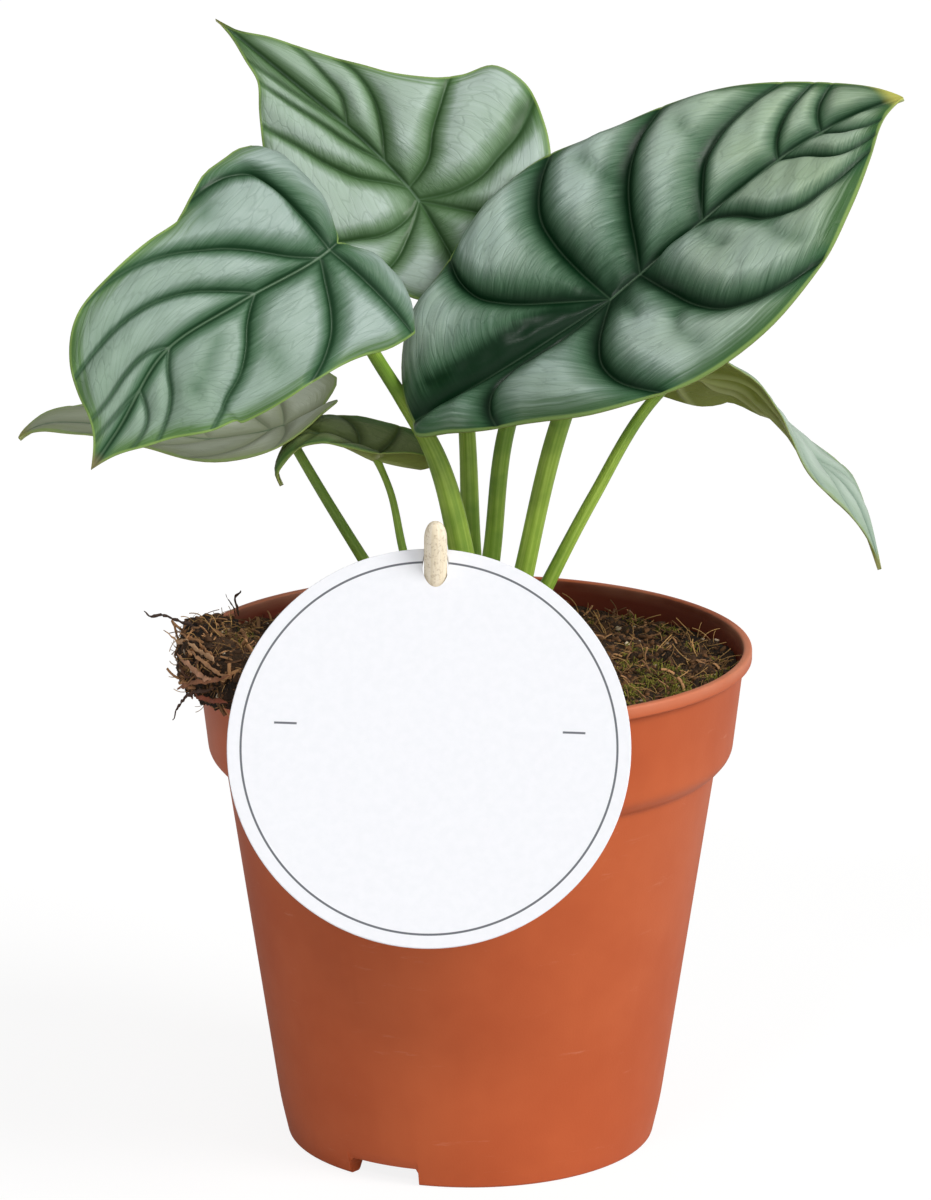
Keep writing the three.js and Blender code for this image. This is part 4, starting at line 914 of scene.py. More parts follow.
def bladeMaterial(name):
    shades = {**bladeShades, **bladeVariants.get(name, {})}
    finish = bladeFinish
    material, tree, shader = newMaterial("leafSkin_" + name, IOR=1.45, Specular_IOR_Level=0.24)
    netMap = uvOf(tree, "net")
    coarse, fine = streaksOf(netMap, 105.0, 9.0, 1.0)
    blotches, grains = mottleOf(objectCoordinates(tree), 46.0, 1500.0)
    veinNear = attributeOf(tree, "veinNear")
    edgeGap = attributeOf(tree, "edgeGap")
    # the dark bands along the veins fade out in fine feathered streaks
    feather = (coarse * 0.6 + fine * 0.8 - 0.7) * finish["feather"]
    feathered = veinNear + feather * rangeOf(veinNear, 0.0, 0.8, 0.15, 1.3)
    clear = rangeOf(feathered, 0.0, finish["bandReach"], kind="LINEAR")
    # painted shade: the blade is darkened along its creases
    clear = (clear - attributeOf(tree, "crease") * finish["crease"]).held()
    darkness = (1.0 - clear ** finish["fall"]) * shades["bands"]
    along = partsOf(uvOf(tree, "flat"))[0]
    tipward = rangeOf(along, -0.1, 0.6)
    greener = (blotches * 0.35 + tipward * 0.7 + rangeOf(fine, 0.35, 0.75, -0.1, 0.15)).held()
    silver = blendOf(greener, shades["silver"], shades["silverGreen"])
    # painted shade: the rear of the blade is darkened towards the deep colour, with a little random mottle
    rearShadeAndMottle = rangeOf(along, -0.2, 0.04, shades["rearPaintedShade"], 0.0) + rangeOf(coarse, 0.3, 0.7, 0.1, 0.0)
    silver = blendOf(rearShadeAndMottle, silver, shades["deep"])
    # a fine net of small veins between the large ones
    placed = vectorOf("MULTIPLY", netMap, (48.0, 20.0, 1.0))
    warped = valueOf(tree, "ShaderNodeTexNoise", {"Vector": placed, "Scale": 0.8, "Detail": 2.0}, "Color")
    sockets = {"Vector": vectorOf("ADD", placed, warped), "Scale": 1.0}
    cells = valueOf(tree, "ShaderNodeTexVoronoi", sockets, feature="DISTANCE_TO_EDGE")
    lines = rangeOf(cells, 0.0, 0.09, 1.0, 0.0)
    silver = blendOf(lines * finish["netShade"], silver, shades["dark"])
    ragged = edgeGap + (coarse - 0.5) * 4.0
    green = rangeOf(ragged, 0.0, shades["greenWide"], 0.95, 0.0)
    green = (green + tipward * shades["tipGreen"]).held()
    upper = blendOf(green, silver, shades["margin"])
    banded = blendOf(rangeOf(clear, 0.0, 0.5, 1.0, 0.0), shades["deep"], shades["dark"])
    upper = blendOf(darkness, upper, banded)
    # the lines of the veins, the midrib and the edge, by how far they reach and how strong they are
    drawnLines = [
        ("lineGap", 0.3, 0.9, 0.45, "dark"),
        ("lineGap", 0.08, 0.3, 0.22, "ribLine"),
        ("ribGap", 0.1, 0.4, 0.6, "ribLine"),
        ("edgeGap", 0.25, 0.6, 0.65, "edge"),
    ]
    for gap, full, none, strength, shade in drawnLines:
        upper = blendOf(rangeOf(attributeOf(tree, gap), full, none, strength, 0.0), upper, shades[shade])
    end = leaves[name]["left"][-1][0] / 100
    upper = blendOf(rangeOf(along, end - 0.045, end - 0.01, 0.0, 0.85), upper, shades["tip"])
    lower = blendOf(blotches, shades["under"], tuple(v * 0.86 for v in shades["under"]))
    lower = blendOf(rangeOf(attributeOf(tree, "lineGap"), 0.2, 1.1, 0.8, 0.0), lower, shades["underRib"])
    colour = blendOf(rangeOf(attributeOf(tree, "under"), 0.45, 0.55), upper, lower)
    roughness = grains * finish["roughnessSpread"] + finish["roughness"]
    roughness = roughness - rangeOf(veinNear, 0.2, 1.0, finish["valleyShine"], 0.0)
    height = (fine * 0.6 + grains * 0.25 - lines * 0.5) * rangeOf(clear, 0.1, 0.6)
    connect(tree, shader, Base_Color=colour, Roughness=roughness, Normal=bumpOf(height, 0.28, 0.0005))
    return material


# Leaf stalks, as [x, y, z, radius]

stalks = {
    "front_right": [(6, -5.5, 84, 2.5), (6.5, -5.5, 101, 2.7), (11.5, -6, 127, 2.2), (19, -8, 159.4, 2.1)],
    "front_left": [(-0.5, -5, 84, 2.5), (-0.5, -5, 101, 2.8), (-2.3, -5.5, 132, 2.7), (-8.7, -4.5, 153.6, 2),
                   (-14, -5, 162.6, 1.6), (-21.5, -9, 176, 1.4)],
    "back": [(1.5, 6.5, 84, 2.4), (1.5, 6.5, 101, 2.6), (0.1, 8, 127.6, 2.2), (-0.8, 12, 152.5, 1.8),
             (-3, 19, 176, 1.6)],
    "low_left": [(-7, 3, 84, 1.8), (-7.3, 3, 101, 1.9), (-23.5, 6, 126.6, 1.25), (-32, 8.6, 140.2, 1.1)],
    "small_arching": [(-7.5, -4, 84, 1.3), (-7.6, -4, 101, 1.4), (-14.6, -2, 130.8, 0.9),
                      (-17.2, 1, 142.2, 0.75)],
    "drooping_right": [(7, 2.2, 84, 2.1), (7, 2.2, 101, 2.2), (16.6, 5, 120.8, 1.6), (26.3, 8, 139, 1.4),
                       (38.4, 11, 158.8, 1.2)],
    "hidden_back_right": [(1, 0.7, 84, 2.3), (1, 0.7, 101, 2.5), (4.5, 2, 128, 2), (7.9, 4, 155.6, 1.8)],
}

stalkForm = {"sides": 40, "rings": 90, "ridges": 6, "ridgeDepth": 0.02, "flare": 1.5}


def makeStalk(name, material):
    # its top ends just inside the blade, and what would stand out of the blade's upper side is cut level
    form = stalkForm
    sides, rings = form["sides"], form["rings"]
    leaf = leaves[name]
    face = leafAxes(leaf)[2]
    top = Vector(leaf["at"]) - face * 0.5
    path = stalks[name]
    line = smoothLine([*path, (*top, path[-1][3] * 0.9)])
    points, places = [], []
    side = Vector((1, 0, 0))
    for n in range(rings + 1):
        s = line.length * n / rings
        x, y, z, radius = line.point(s)
        along = Vector((line.point(s + 0.5) - line.point(s - 0.5))[:3]).normalized()
        side = (side - along * side.dot(along)).normalized()
        other = along.cross(side)
        nearTop = math.exp(-(line.length - s) / 1.6)
        radius *= 1 + (form["flare"] - 1) * nearTop
        for k in range(sides):
            turn = 2 * math.pi * k / sides
            ridged = radius * (1 + form["ridgeDepth"] * math.cos(form["ridges"] * turn + 0.7 * s / 10))
            point = Vector((x, y, z)) + side * ridged * math.cos(turn) + other * ridged * math.sin(turn)
            over = (point - top).dot(face)
            if n > rings - 8 and over > 0:
                point -= face * over
            points.append(point)
            places.append((k / sides, s))
    piece = meshPiece("stalk_look_" + name, points, tubeFaces(rings, sides), material)
    wrapGrain(piece, places)
    heights = [p.z for p in points]
    low, high = 104, max(heights)  # from the soil to the top
    pointValues(piece, "climb", [(z - low) / (high - low) for z in heights])
    return carry(piece, "leaf_stalk", "stalk_" + name)


stalkShades = {
    "young": (180, 208, 88),
    "grown": (150, 184, 62),
    "shade": (96, 138, 44),
    "foot": (190, 202, 124),
}


def stalkMaterial():
    material, tree, shader = newMaterial("stalkSkin", IOR=1.42)
    coarse, fine = streaksOf(uvOf(tree, "grain"), 26.0, 3.0, 1.0)
    blotches, grains = mottleOf(objectCoordinates(tree), 70.0, 1400.0)
    climb = attributeOf(tree, "climb")
    colour = blendOf(rangeOf(coarse, 0.35, 0.65), stalkShades["grown"], stalkShades["young"])
    colour = blendOf(blotches * 0.75, colour, stalkShades["shade"])
    colour = blendOf(rangeOf(climb, -0.05, 0.2, 0.7, 0.0), colour, stalkShades["foot"])
    bump = bumpOf(fine + grains * 0.3, 0.3, 0.0003)
    connect(tree, shader, Base_Color=colour, Roughness=grains * 0.2 + 0.3, Normal=bump)
    return material


# Pot

potForm = {
    "rimRadius": 60,
    "height": 108.6,
    "lipHeight": 2.7,
    "lipThickness": 1.7,
    "collarFootRadius": 56.2,
    "collarFootHeight": 89.5,
    "creaseRadius": 52.5,
    "creaseHeight": 83,
    "footRadius": 39.8,
    "wall": 1.1,
    "floorHeight": 4,
    "floorThickness": 1.2,
    "bossRadius": 9,
    "segments": 180,
    "notchHeight": 3.7,
    "notchChamfer": 1.0,
    "notchWidth": 16.5,
    "notchAngles": (-118, 62),
    "drainRadius": 3,
    "drainCircle": 25,
    "drainCount": 6,
}


def potProfile():
    # [radius, height, fillet] from the middle of the underside, up the outside and down the inside
    form = potForm
    foot, wall, rim = form["footRadius"], form["wall"], form["rimRadius"]
    lipFoot = form["height"] - form["lipHeight"]
    inside = form["floorHeight"] + form["floorThickness"]
    return [
        (0, 0, 0),
        (form["bossRadius"] - 0.8, 0, 0.5),
        (form["bossRadius"], form["floorHeight"], 0.5),
        (foot - 5, form["floorHeight"], 0.6),
        (foot - 3, 0, 0.6),
        (foot - 0.2, 0, 0.7),
        (foot + 1.6, 8, 3),
        (form["creaseRadius"], form["creaseHeight"], 0.8),
        (form["creaseRadius"] + 1.6, form["creaseHeight"] + 0.9, 0.6),
        (form["collarFootRadius"] - 0.2, form["collarFootHeight"] - 3.4, 2.2),
        (form["collarFootRadius"] + 0.25, form["collarFootHeight"] + 0.4, 2.0),
        (rim - form["lipThickness"], lipFoot - 0.1, 0.5),
        (rim, lipFoot, 0.5),
        (rim, form["height"], 0.7),
        (rim - 1.9, form["height"], 0.7),
        (rim - 1.9, form["height"] - 1.6, 0.5),
        (form["collarFootRadius"] - wall, form["collarFootHeight"], 2),
        (form["creaseRadius"] - wall, form["creaseHeight"] + 1, 2),
        (foot + 1.6 - wall, 8.5, 2),
        (foot - 2.5, inside, 1.4),
        (form["bossRadius"] + 1, inside, 0.6),
        (form["bossRadius"] - 0.6, 1.3, 0.5),
        (0, 1.3, 0),
    ]


def filleted(profile, steps=4):
    # rounds each corner by its own fillet
    rounded = [profile[0][:2]]
    for before, corner, after in zip(profile, profile[1:], profile[2:]):
        here = Vector(corner[:2])
        back = Vector(before[:2]) - here
        ahead = Vector(after[:2]) - here
        reach = min(corner[2], back.length * 0.48, ahead.length * 0.48)
        start = here + back.normalized() * reach
        end = here + ahead.normalized() * reach
        for k in range(steps + 1):
            t = k / steps
            rounded.append(tuple(start * (1 - t) ** 2 + here * 2 * t * (1 - t) + end * t * t))
    rounded.append(profile[-1][:2])
    return rounded


def makePot(material):
    form = potForm
    foot = form["footRadius"]
    profile = filleted(potProfile())
    half = math.degrees(form["notchWidth"] / 2 / foot)
    turns = {i * 360 / form["segments"] for i in range(form["segments"])}
    notches = [angle % 360 for angle in form["notchAngles"]]
    for angle in notches:
        for edge in (half + 0.25, half, half - 0.9):
            turns |= {(angle - edge) % 360, (angle + edge) % 360}
    turns = sorted(turns)

    def notchRoof(turn):
        off = min(abs((turn - angle + 180) % 360 - 180) for angle in notches)
        if off > half + 1e-6:
            return 0
        return form["notchHeight"] - (form["notchChamfer"] if off > half - 0.5 else 0)

    points, rings = [], []
    for radius, height in profile:
        if radius < 1e-6:
            rings.append([len(points)] * len(turns))
            points.append((0, 0, height))
            continue
        notched = foot - 5.2 < radius < foot + 1.2 and height < form["notchHeight"]
        rings.append([len(points) + k for k in range(len(turns))])
        for turn in turns:
            z = max(height, notchRoof(turn)) if notched else height
            points.append(onCircle(radius, math.radians(turn), z))
    pot = meshPiece("pot_look", points, ringFaces(rings), material)
    # marks the inner wall, which the material darkens as painted shade
    lip = max(range(len(profile)), key=lambda i: profile[i][1] - profile[i][0] * 0.2)
    within = {v for ring in rings[lip + 2:] for v in ring}
    pointValues(pot, "inner", [1.0 if v in within else 0.0 for v in range(len(points))])
    sides = 24
    for k in range(form["drainCount"]):
        centre = Vector(onCircle(form["drainCircle"], 2 * math.pi * (k + 0.5) / form["drainCount"]))
        ring = [centre + Vector(onCircle(form["drainRadius"], 2 * math.pi * i / sides)) for i in range(sides)]
        bore = [p + Vector((0, 0, z)) for z in (2, 7) for p in ring]
        cutAway(pot, meshPiece("drainCutter", bore, tubeFaces(1, sides), material, smooth=False))
    sharpen(pot, 38)
    return carry(pot, "pot_plastic", "pot")


potShades = {
    "clay": (200, 99, 55),
    "clayDeep": (188, 88, 47),
    # inside: a darker clay that paints the shade on the pot's inner wall
    "inside": (108, 42, 28),
    "paleScuffAndSheen": (220, 158, 130),  # pale: random scuffs all over the pot, the collar too, and the painted sheen along the top of the lip
}


def potMaterial():
    material, tree, shader = newMaterial("terracottaPlastic", IOR=1.48, Specular_IOR_Level=0.28)
    place = objectCoordinates(tree)
    blotches, grains = mottleOf(place, 22.0, 2600.0)
    colour = blendOf(blotches, potShades["clay"], potShades["clayDeep"])
    # faint upright flow marks from the mould
    marks, _ = streaksOf(place, 160.0, 160.0, 4.0)
    colour = blendOf(rangeOf(marks, 0.5, 0.8, 0.0, 0.25), colour, potShades["clayDeep"])
    scuffs = noiseOf(stretchOf(place, 60.0, 60.0, 380.0), 1.0, 6.0, 0.7)
    colour = blendOf(rangeOf(scuffs, 0.62, 0.8, 0.0, 0.35), colour, potShades["paleScuffAndSheen"])
    # painted shade: the inner wall is darkened, as it lies in shade inside the pot
    colour = blendOf(attributeOf(tree, "inner") * 0.9, colour, potShades["inside"])
    # painted sheen: the top of the lip is paled where it catches the light
    lip = rangeOf(partsOf(place)[2], 0.1055, 0.1084, 0.0, 0.6)
    colour = blendOf(lip * blotches, colour, potShades["paleScuffAndSheen"])
    bump = bumpOf(grains * 0.5 + marks * 0.5, 0.16, 0.0003)
    connect(tree, shader, Base_Color=colour, Roughness=blotches * 0.1 + 0.46, Normal=bump)
    return material


# Soil

soilForm = {
    "gap": 0.35,
    "level": 104.5,
    "sectors": 220,
    "rings": 90,
    "lump": 1.4,
    "crumb": 0.75,
    "crownWide": 22,
    "crownHigh": 1.5,
    "swells": [(192, 0.16, 7), (268, 0.45, 3.2), (70, 0.5, -1.6)],  # [direction, spread, height] at the wall
    "wallStrip": 1.8,  # how wide a strip along the wall stays free of loose peat
    "clumpFrom": 226.2,
    "clumpTo": 166.7,
    "clumpSteps": 90,
    "clumpParts": 4,  # points from one corner of the clump's section to the next
}


def soilHeap(x, y):
    r = math.hypot(x, y)
    height = soilForm["crownHigh"] * math.exp(-((r / soilForm["crownWide"]) ** 2))
    for angle, spread, swell in soilForm["swells"]:
        turn = math.atan2(y, x) - math.radians(angle)
        height += swell * (math.exp((math.cos(turn) - 1) / spread) * clamp((r - 18) / 36, 0, 1))
    return height


def roughnessAt(x, y):
    return (
        math.sin(x * 0.31 + 1.3) * math.cos(y * 0.27 - 0.6)
        + 0.6 * math.sin(x * 0.73 + y * 0.51)
        + 0.4 * math.cos(x * 0.45 - y * 1.1 + 2)
    )


def lumpsAt(x, y, z):
    lumps = noise.fractal(Vector((x, y, z)) / 7, 0.9, 2.1, 3)
    crumbs = noise.fractal(Vector((x + 90, y, z)) / 2.2, 0.8, 2.2, 2)
    return soilForm["lump"] * lumps + soilForm["crumb"] * crumbs


def makeSoil(material):
    form = soilForm
    pot = potForm
    sectors, steps = form["sectors"], form["rings"]

    def inside(z):
        # the radius that the pot's collar leaves free
        share = (z - pot["collarFootHeight"]) / (pot["height"] - 0.8 - pot["collarFootHeight"])
        return mix(pot["collarFootRadius"] - pot["wall"], pot["rimRadius"] - 1.9, share) - form["gap"]

    bottom = pot["floorHeight"] + pot["floorThickness"] + form["gap"]
    wall = [
        (pot["footRadius"] - 3.6, bottom),
        (pot["footRadius"] + 0.1, 9),
        (pot["creaseRadius"] - pot["wall"] - 1, pot["creaseHeight"]),
        (inside(pot["collarFootHeight"]) - 0.4, pot["collarFootHeight"] + 0.6),
        (inside(99) - 0.2, 99),
    ]
    edge = inside(103)
    turns = [2 * math.pi * k / sectors for k in range(sectors)]
    points = [(0, 0, bottom)] + [onCircle(r, turn, z) for r, z in wall for turn in turns]
    for n in range(steps, 0, -1):
        r = edge * (n / steps) ** 0.8
        for turn in turns:
            x, y, _ = onCircle(r, turn)
            z = form["level"] + soilHeap(x, y) + 0.6 * roughnessAt(x, y)
            if n < steps:
                z += lumpsAt(x, y, 0) * clamp((edge - r) / 2, 0, 1)
            points.append((x, y, z))
    points.append((0, 0, form["level"] + soilHeap(0, 0)))
    rings = [[1 + n * sectors + k for k in range(sectors)] for n in range(len(wall) + steps)]
    faces = ringFaces([[0] * sectors, *rings])
    faces += [[len(points) - 1, rings[-1][k], rings[-1][(k + 1) % sectors]] for k in range(sectors)]
    soil = meshPiece("soil_look", points, faces, material)
    bed, mossy, heaped = [], [], []
    for x, y, z in points:
        loose = 1.0 if z > 100.5 and math.hypot(x, y) < edge - form["wallStrip"] else 0.0
        nearRight = math.exp(-(((x - 40) / 17) ** 2) - (((y + 22) / 20) ** 2))
        bed.append(loose)
        mossy.append(loose * clamp(nearRight * 1.5 - 0.9 + 3.4 * noise.noise(Vector((x, y, z)) / 5), 0, 1))
        heaped.append(loose * clamp((-x - 22) / 18, 0, 1))
    for label, values in (("bed", bed), ("mossy", mossy), ("heaped", heaped)):
        pointValues(soil, label, values)
    return soil


def makeClump(material):
    # the part of the heap that lies on the rim and hangs over it
    form = soilForm
    gap, steps, parts = form["gap"], form["clumpSteps"], form["clumpParts"]
    rim, top = potForm["rimRadius"], potForm["height"]
    lipFoot = top - potForm["lipHeight"]
    over = top + gap
    outside = rim + gap
    points = []
    for n in range(steps + 1):
        share = n / steps
        turn = math.radians(mix(form["clumpFrom"], form["clumpTo"], share))
        body = math.sin(math.pi * mix(0.06, 0.94, share)) ** 0.6
        rough = 0.5 * math.sin(share * 12 * 2.4) + 0.4 * math.cos(share * 12 * 3.9 + 1)
        # [radius, height] from the soil inside, under the clump and round its outer side
        section = [
            (rim - 9, 101), (rim - 4.6, 103), (rim - 1.9 - gap, top - 0.8), (rim - 1.3 - gap, over),
            (outside, over), (outside, mix(top - 1, lipFoot - 3 + rough, body)),
            (mix(outside + 0.5, outside + 1.5 + rough, body), mix(top - 1.2, lipFoot - 3.4, body)),
            (mix(outside + 0.6, outside + 2.0 - rough, body), mix(top, top - 2, body)),
            (mix(outside + 0.4, outside + 1.2 + rough, body), mix(over + 0.8, over + 3 + rough, body)),
            (rim - 3, mix(over + 1.4, over + 5 + rough, body)),
            (rim - 9, mix(over + 0.6, over + 4, body)),
        ]
        for a, b in zip(section, section[1:] + section[:1]):
            for k in range(parts):
                r, z = mix(a[0], b[0], k / parts), mix(a[1], b[1], k / parts)
                push = lumpsAt(*onCircle(r, turn, z)) * 0.9
                away = Vector((r - rim, z - (over + 1)))
                away = away.normalized() if away.length > 0.1 else Vector((0, 1))
                if z > over + 0.5 or r > outside + 0.4:
                    r, z = r + away.x * push, z + away.y * push
                points.append(onCircle(r, turn, z))
    clump = meshPiece("soil_clump", points, tubeFaces(steps, len(section) * parts), material)
    loose = [1.0 if z > over + 0.3 or math.hypot(x, y) > outside + 0.3 else 0.0 for x, y, z in points]
    for label, values in (("bed", loose), ("heaped", loose), ("mossy", [0.0] * len(points))):
        pointValues(clump, label, values)
    return clump


peatShades = {
    "dark": (28, 19, 11),
    "brown": (68, 47, 28),
    "dry": (118, 82, 50),
    "pits": (22, 15, 9),
}


def peatMaterial():
    material, tree, shader = newMaterial("peat", IOR=1.4, Roughness=0.92)
    place = objectCoordinates(tree)
    blotches, grains = mottleOf(place, 130.0, 1700.0)
    wide = noiseOf(place, 45.0, 5.0, 0.7)
    colour = blendOf(blotches, peatShades["dark"], peatShades["brown"])
    colour = blendOf(rangeOf(wide, 0.5, 0.75, 0.0, 0.8), colour, peatShades["dry"])
    colour = blendOf(rangeOf(grains, 0.55, 0.8, 0.0, 0.6), colour, peatShades["pits"])
    connect(tree, shader, Base_Color=colour, Normal=bumpOf(grains + wide, 0.9, 0.0012))
    return material


# What lies on the soil, scattered by geometry nodes; density is the number on a square centimetre

scatters = {
    "crumbs": dict(density=60, seed=3, small=0.15, large=0.55, where="bed", shape="lump", finish="crumb"),
    "lumps": dict(density=6, seed=5, small=0.4, large=1.0, where="bed", shape="fineLump", finish="crumb"),
    "bark": dict(density=7, seed=8, small=0.3, large=0.95, where="heaped", shape="bark", finish="bark"),
    "flakes": dict(density=6, seed=17, small=0.3, large=0.8, where="bed", shape="bark", finish="bark"),
    "fibres": dict(density=14, seed=12, small=0.3, large=1.0, where="bed", shape="fibre", finish="fibre"),
    "moss": dict(density=260, seed=21, small=0.3, large=0.9, where="mossy", shape="sprig", finish="moss"),
    "grit": dict(density=1.3, seed=33, small=0.25, large=0.7, where="bed", shape="fineLump", finish="grit"),
}

litterShades = {
    "crumb": [(30, 18, 10), (126, 86, 50)],
    "bark": [(70, 42, 24), (204, 152, 104)],
    "fibre": [(70, 44, 24), (214, 168, 104)],
    "moss": [(48, 50, 14), (152, 146, 56)],
    "grit": [(120, 96, 72), (214, 196, 168)],
    "shredGrain": (74, 46, 30),
}

# Long roots and flat shreds of bark that stick out of the heap at the left, each as its half thickness,
# its flatness, its colour and its points

strands = {
    "longRoot": (0.42, 1.0, (58, 50, 46), [(-69.6, -3, 116.3), (-68.1, -3, 115.5), (-65.4, -3, 115.7),
                                           (-62.8, -3, 114.8), (-60.3, -3, 113.6), (-57.5, -3, 112)]),
    "spike": (0.4, 1.0, (62, 42, 30), [(-49.4, 8, 118.3), (-50.1, 8, 116.6), (-49.9, 8, 112.5)]),
    "thinSpike": (0.2, 1.0, (84, 60, 42), [(-52.6, 8, 117.4), (-51.6, 8, 115.8), (-50.6, 8, 112.5)]),
    "paleShred": (0.62, 0.35, (236, 188, 142), [(-65, -6, 112.9), (-62.3, -9, 112), (-59.4, -16, 113),
                                                (-56.2, -23.5, 113), (-52, -33, 112.4)]),
    "upperShred": (0.5, 0.4, (206, 152, 104), [(-61.8, -9, 113.4), (-59, -14, 113.4), (-56.2, -20.5, 113.4),
                                               (-53.5, -28, 112.6)]),
    "outerShred": (0.66, 0.4, (228, 170, 132), [(-61.5, -15.5, 110.2), (-58.6, -24.4, 110),
                                                (-56.4, -29.6, 110), (-53.2, -34.5, 109.6)]),
    "twig": (0.3, 1.0, (96, 62, 44), [(-61.6, -16, 108.6), (-60, -20.4, 107.5), (-58.4, -23.6, 107.6)]),
    "lowShred": (0.6, 0.4, (178, 118, 82), [(-62, -13, 102.2), (-58.8, -24, 106.2), (-54.8, -31.8, 109.2),
                                            (-49.4, -39.4, 112)]),
    "lowRoot": (0.45, 0.8, (74, 50, 38), [(-63.4, -7, 94), (-61.4, -15, 99.4), (-59.4, -21.6, 103.1),
                                          (-56.2, -28.8, 106.2), (-53, -33.5, 108.1)]),
    "redShred": (0.6, 0.4, (158, 84, 60), [(-58.6, -24, 104.3), (-55.6, -30, 104.8), (-52.8, -34.6, 105.6),
                                           (-50.3, -37.6, 106.1)]),
    "shortShred": (0.55, 0.5, (196, 138, 94), [(-61, -17, 106.2), (-59.8, -20.4, 105.6),
                                               (-57.6, -25.4, 105.6)]),
    "middleShred": (0.5, 0.4, (212, 158, 112), [(-59.2, -21.6, 113.2), (-56.3, -28.4, 112.6),
                                                (-53, -34.2, 111.8), (-49.9, -38.6, 111.6)]),
}


def makeStrands(material):
    points, faces, tints = [], [], []
    corners, steps = 8, 26
    for half, flat, shade, places in strands.values():
        line = smoothLine(places)
        faces += tubeFaces(steps, corners, len(points))
        for n in range(steps + 1):
            s = line.length * n / steps
            middle = Vector(line.point(s))
            along = Vector(line.point(s + 0.3) - line.point(s - 0.3)).normalized()
            outward = Vector((middle.x, middle.y, 8)).normalized()
            side = along.cross(outward).normalized()
            over = side.cross(along)
            ends = min(clamp(n / steps * 4, 0, 1), clamp((steps - n) / steps * 6, 0, 1))
            thick = half * (0.25 + 0.65 * ends) * (0.9 + 0.8 * noise.noise(middle / 0.9))
            sway = side * noise.noise(middle / 2.3) + over * noise.noise(middle / 1.9 + Vector((9, 0, 0)))
            middle += sway * 0.7
            for k in range(corners):
                turn = 2 * math.pi * k / corners
                points.append(middle + side * thick * math.cos(turn) + over * thick * flat * math.sin(turn))
                tints += srgb(shade)
    piece = meshPiece("soil_strands", points, faces, material)
    layer = piece.data.attributes.new("shade", "FLOAT_COLOR", "POINT")
    layer.data.foreach_set("color", tints)
    return carry(piece, "peat")


def strandMaterial():
    material, tree, shader = newMaterial("barkShreds", Roughness=0.8, IOR=1.42)
    shade = attributeOf(tree, "shade", "Color")
    blotches, grains = mottleOf(objectCoordinates(tree), 420.0, 2200.0)
    colour = blendOf(blotches * 0.4 + grains * 0.3, shade, litterShades["shredGrain"])
    connect(tree, shader, Base_Color=colour, Normal=bumpOf(grains, 0.6, 0.0004))
    return material


def litterMaterial(name):
    material, tree, shader = newMaterial(name + "Litter", Roughness=0.85, IOR=1.42)
    tint = attributeOf(tree, "tint")
    grains = noiseOf(objectCoordinates(tree), 900.0, 3.0, 0.6)
    colour = blendOf(tint * 0.75 + grains * 0.25, *litterShades[name])
    connect(tree, shader, Base_Color=colour, Normal=bumpOf(grains, 0.5, 0.0004))
    return material


def lumpShape(tree, level):
    ball = valueOf(tree, "GeometryNodeMeshIcoSphere", {"Radius": mm, "Subdivisions": level}, "Mesh")
    rough = valueOf(tree, "ShaderNodeTexNoise", {"Scale": 900.0, "Detail": 1.0}, "Color")
    push = vectorOf("SUBTRACT", rough, (0.5, 0.5, 0.5))
    push = valueOf(tree, "ShaderNodeVectorMath", {0: push, "Scale": 1.6 * mm}, operation="SCALE")
    moved = valueOf(tree, "GeometryNodeSetPosition", {"Geometry": ball, "Offset": push})
    flattened = valueOf(tree, "GeometryNodeTransform", {"Geometry": moved, "Scale": (1.25, 0.9, 0.62)})
    return valueOf(tree, "GeometryNodeGeometryToInstance", {0: flattened})


def strandShapes(tree, middles, ends, thick, flat, steps, corners):
    # several bent strands, of which each place takes one
    joined = addNode(tree, "GeometryNodeJoinGeometry")
    for middle, end in zip(middles, ends):
        middle, end = [tuple(v * mm for v in place) for place in (middle, end)]
        sockets = {"Start": (0, 0, 0), "Middle": middle, "End": end, "Resolution": steps}
        arc = valueOf(tree, "GeometryNodeCurveQuadraticBezier", sockets)
        sockets = {"Radius": thick * mm, "Resolution": corners}
        ring = valueOf(tree, "GeometryNodeCurvePrimitiveCircle", sockets)
        squeezed = valueOf(tree, "GeometryNodeTransform", {"Geometry": ring, "Scale": (1, flat, 1)})
        along = valueOf(tree, "GeometryNodeSplineParameter", output="Factor")
        taper = valueOf(tree, "ShaderNodeMapRange", {"Value": along, "To Min": 1.0, "To Max": 0.25})
        tapered = valueOf(tree, "GeometryNodeSetCurveRadius", {"Curve": arc, "Radius": taper})
        sockets = {"Curve": tapered, "Profile Curve": squeezed, "Fill Caps": True}
        swept = valueOf(tree, "GeometryNodeCurveToMesh", sockets)
        join(tree, valueOf(tree, "GeometryNodeGeometryToInstance", {0: swept}), joined.inputs[0])
    return nodeValue(tree, joined.outputs[0])


# each strand's middle and end, then their half thickness, flatness, steps and corners
strandForms = {
    "fibre": ([(2, 1, 1.2), (3, -1.5, 0.4), (2.5, 2, 0.2), (1, 0.5, 2.2)],
              [(5, 0.5, 0.3), (6, 1, 0.9), (3.5, 4.5, 0.4), (3.2, 1.2, 2.6)], 0.11, 1.0, 8, 4),
    "bark": ([(2, 0.4, 0.9), (2.6, -1, 0.5), (1.5, 1, 1.6)],
             [(4.6, 0, 0.2), (5.5, 0.6, 1.2), (3, 2.2, 1.4)], 0.55, 0.42, 6, 6),
    "sprig": ([(0.2, 0.1, 0.9), (-0.3, 0.2, 0.8), (0.1, -0.35, 0.9)],
              [(0.7, 0.3, 1.6), (-0.9, 0.4, 1.3), (0.3, -1.0, 1.4)], 0.2, 1.0, 4, 3),
}
lumpLevels = {"lump": 1, "fineLump": 2}

scatterInputs = {
    "Ground": "NodeSocketGeometry",
    "Density": "NodeSocketFloat",
    "Smallest": "NodeSocketFloat",
    "Largest": "NodeSocketFloat",
    "Seed": "NodeSocketInt",
    "Finish": "NodeSocketMaterial",
    "Where": "NodeSocketString",
}


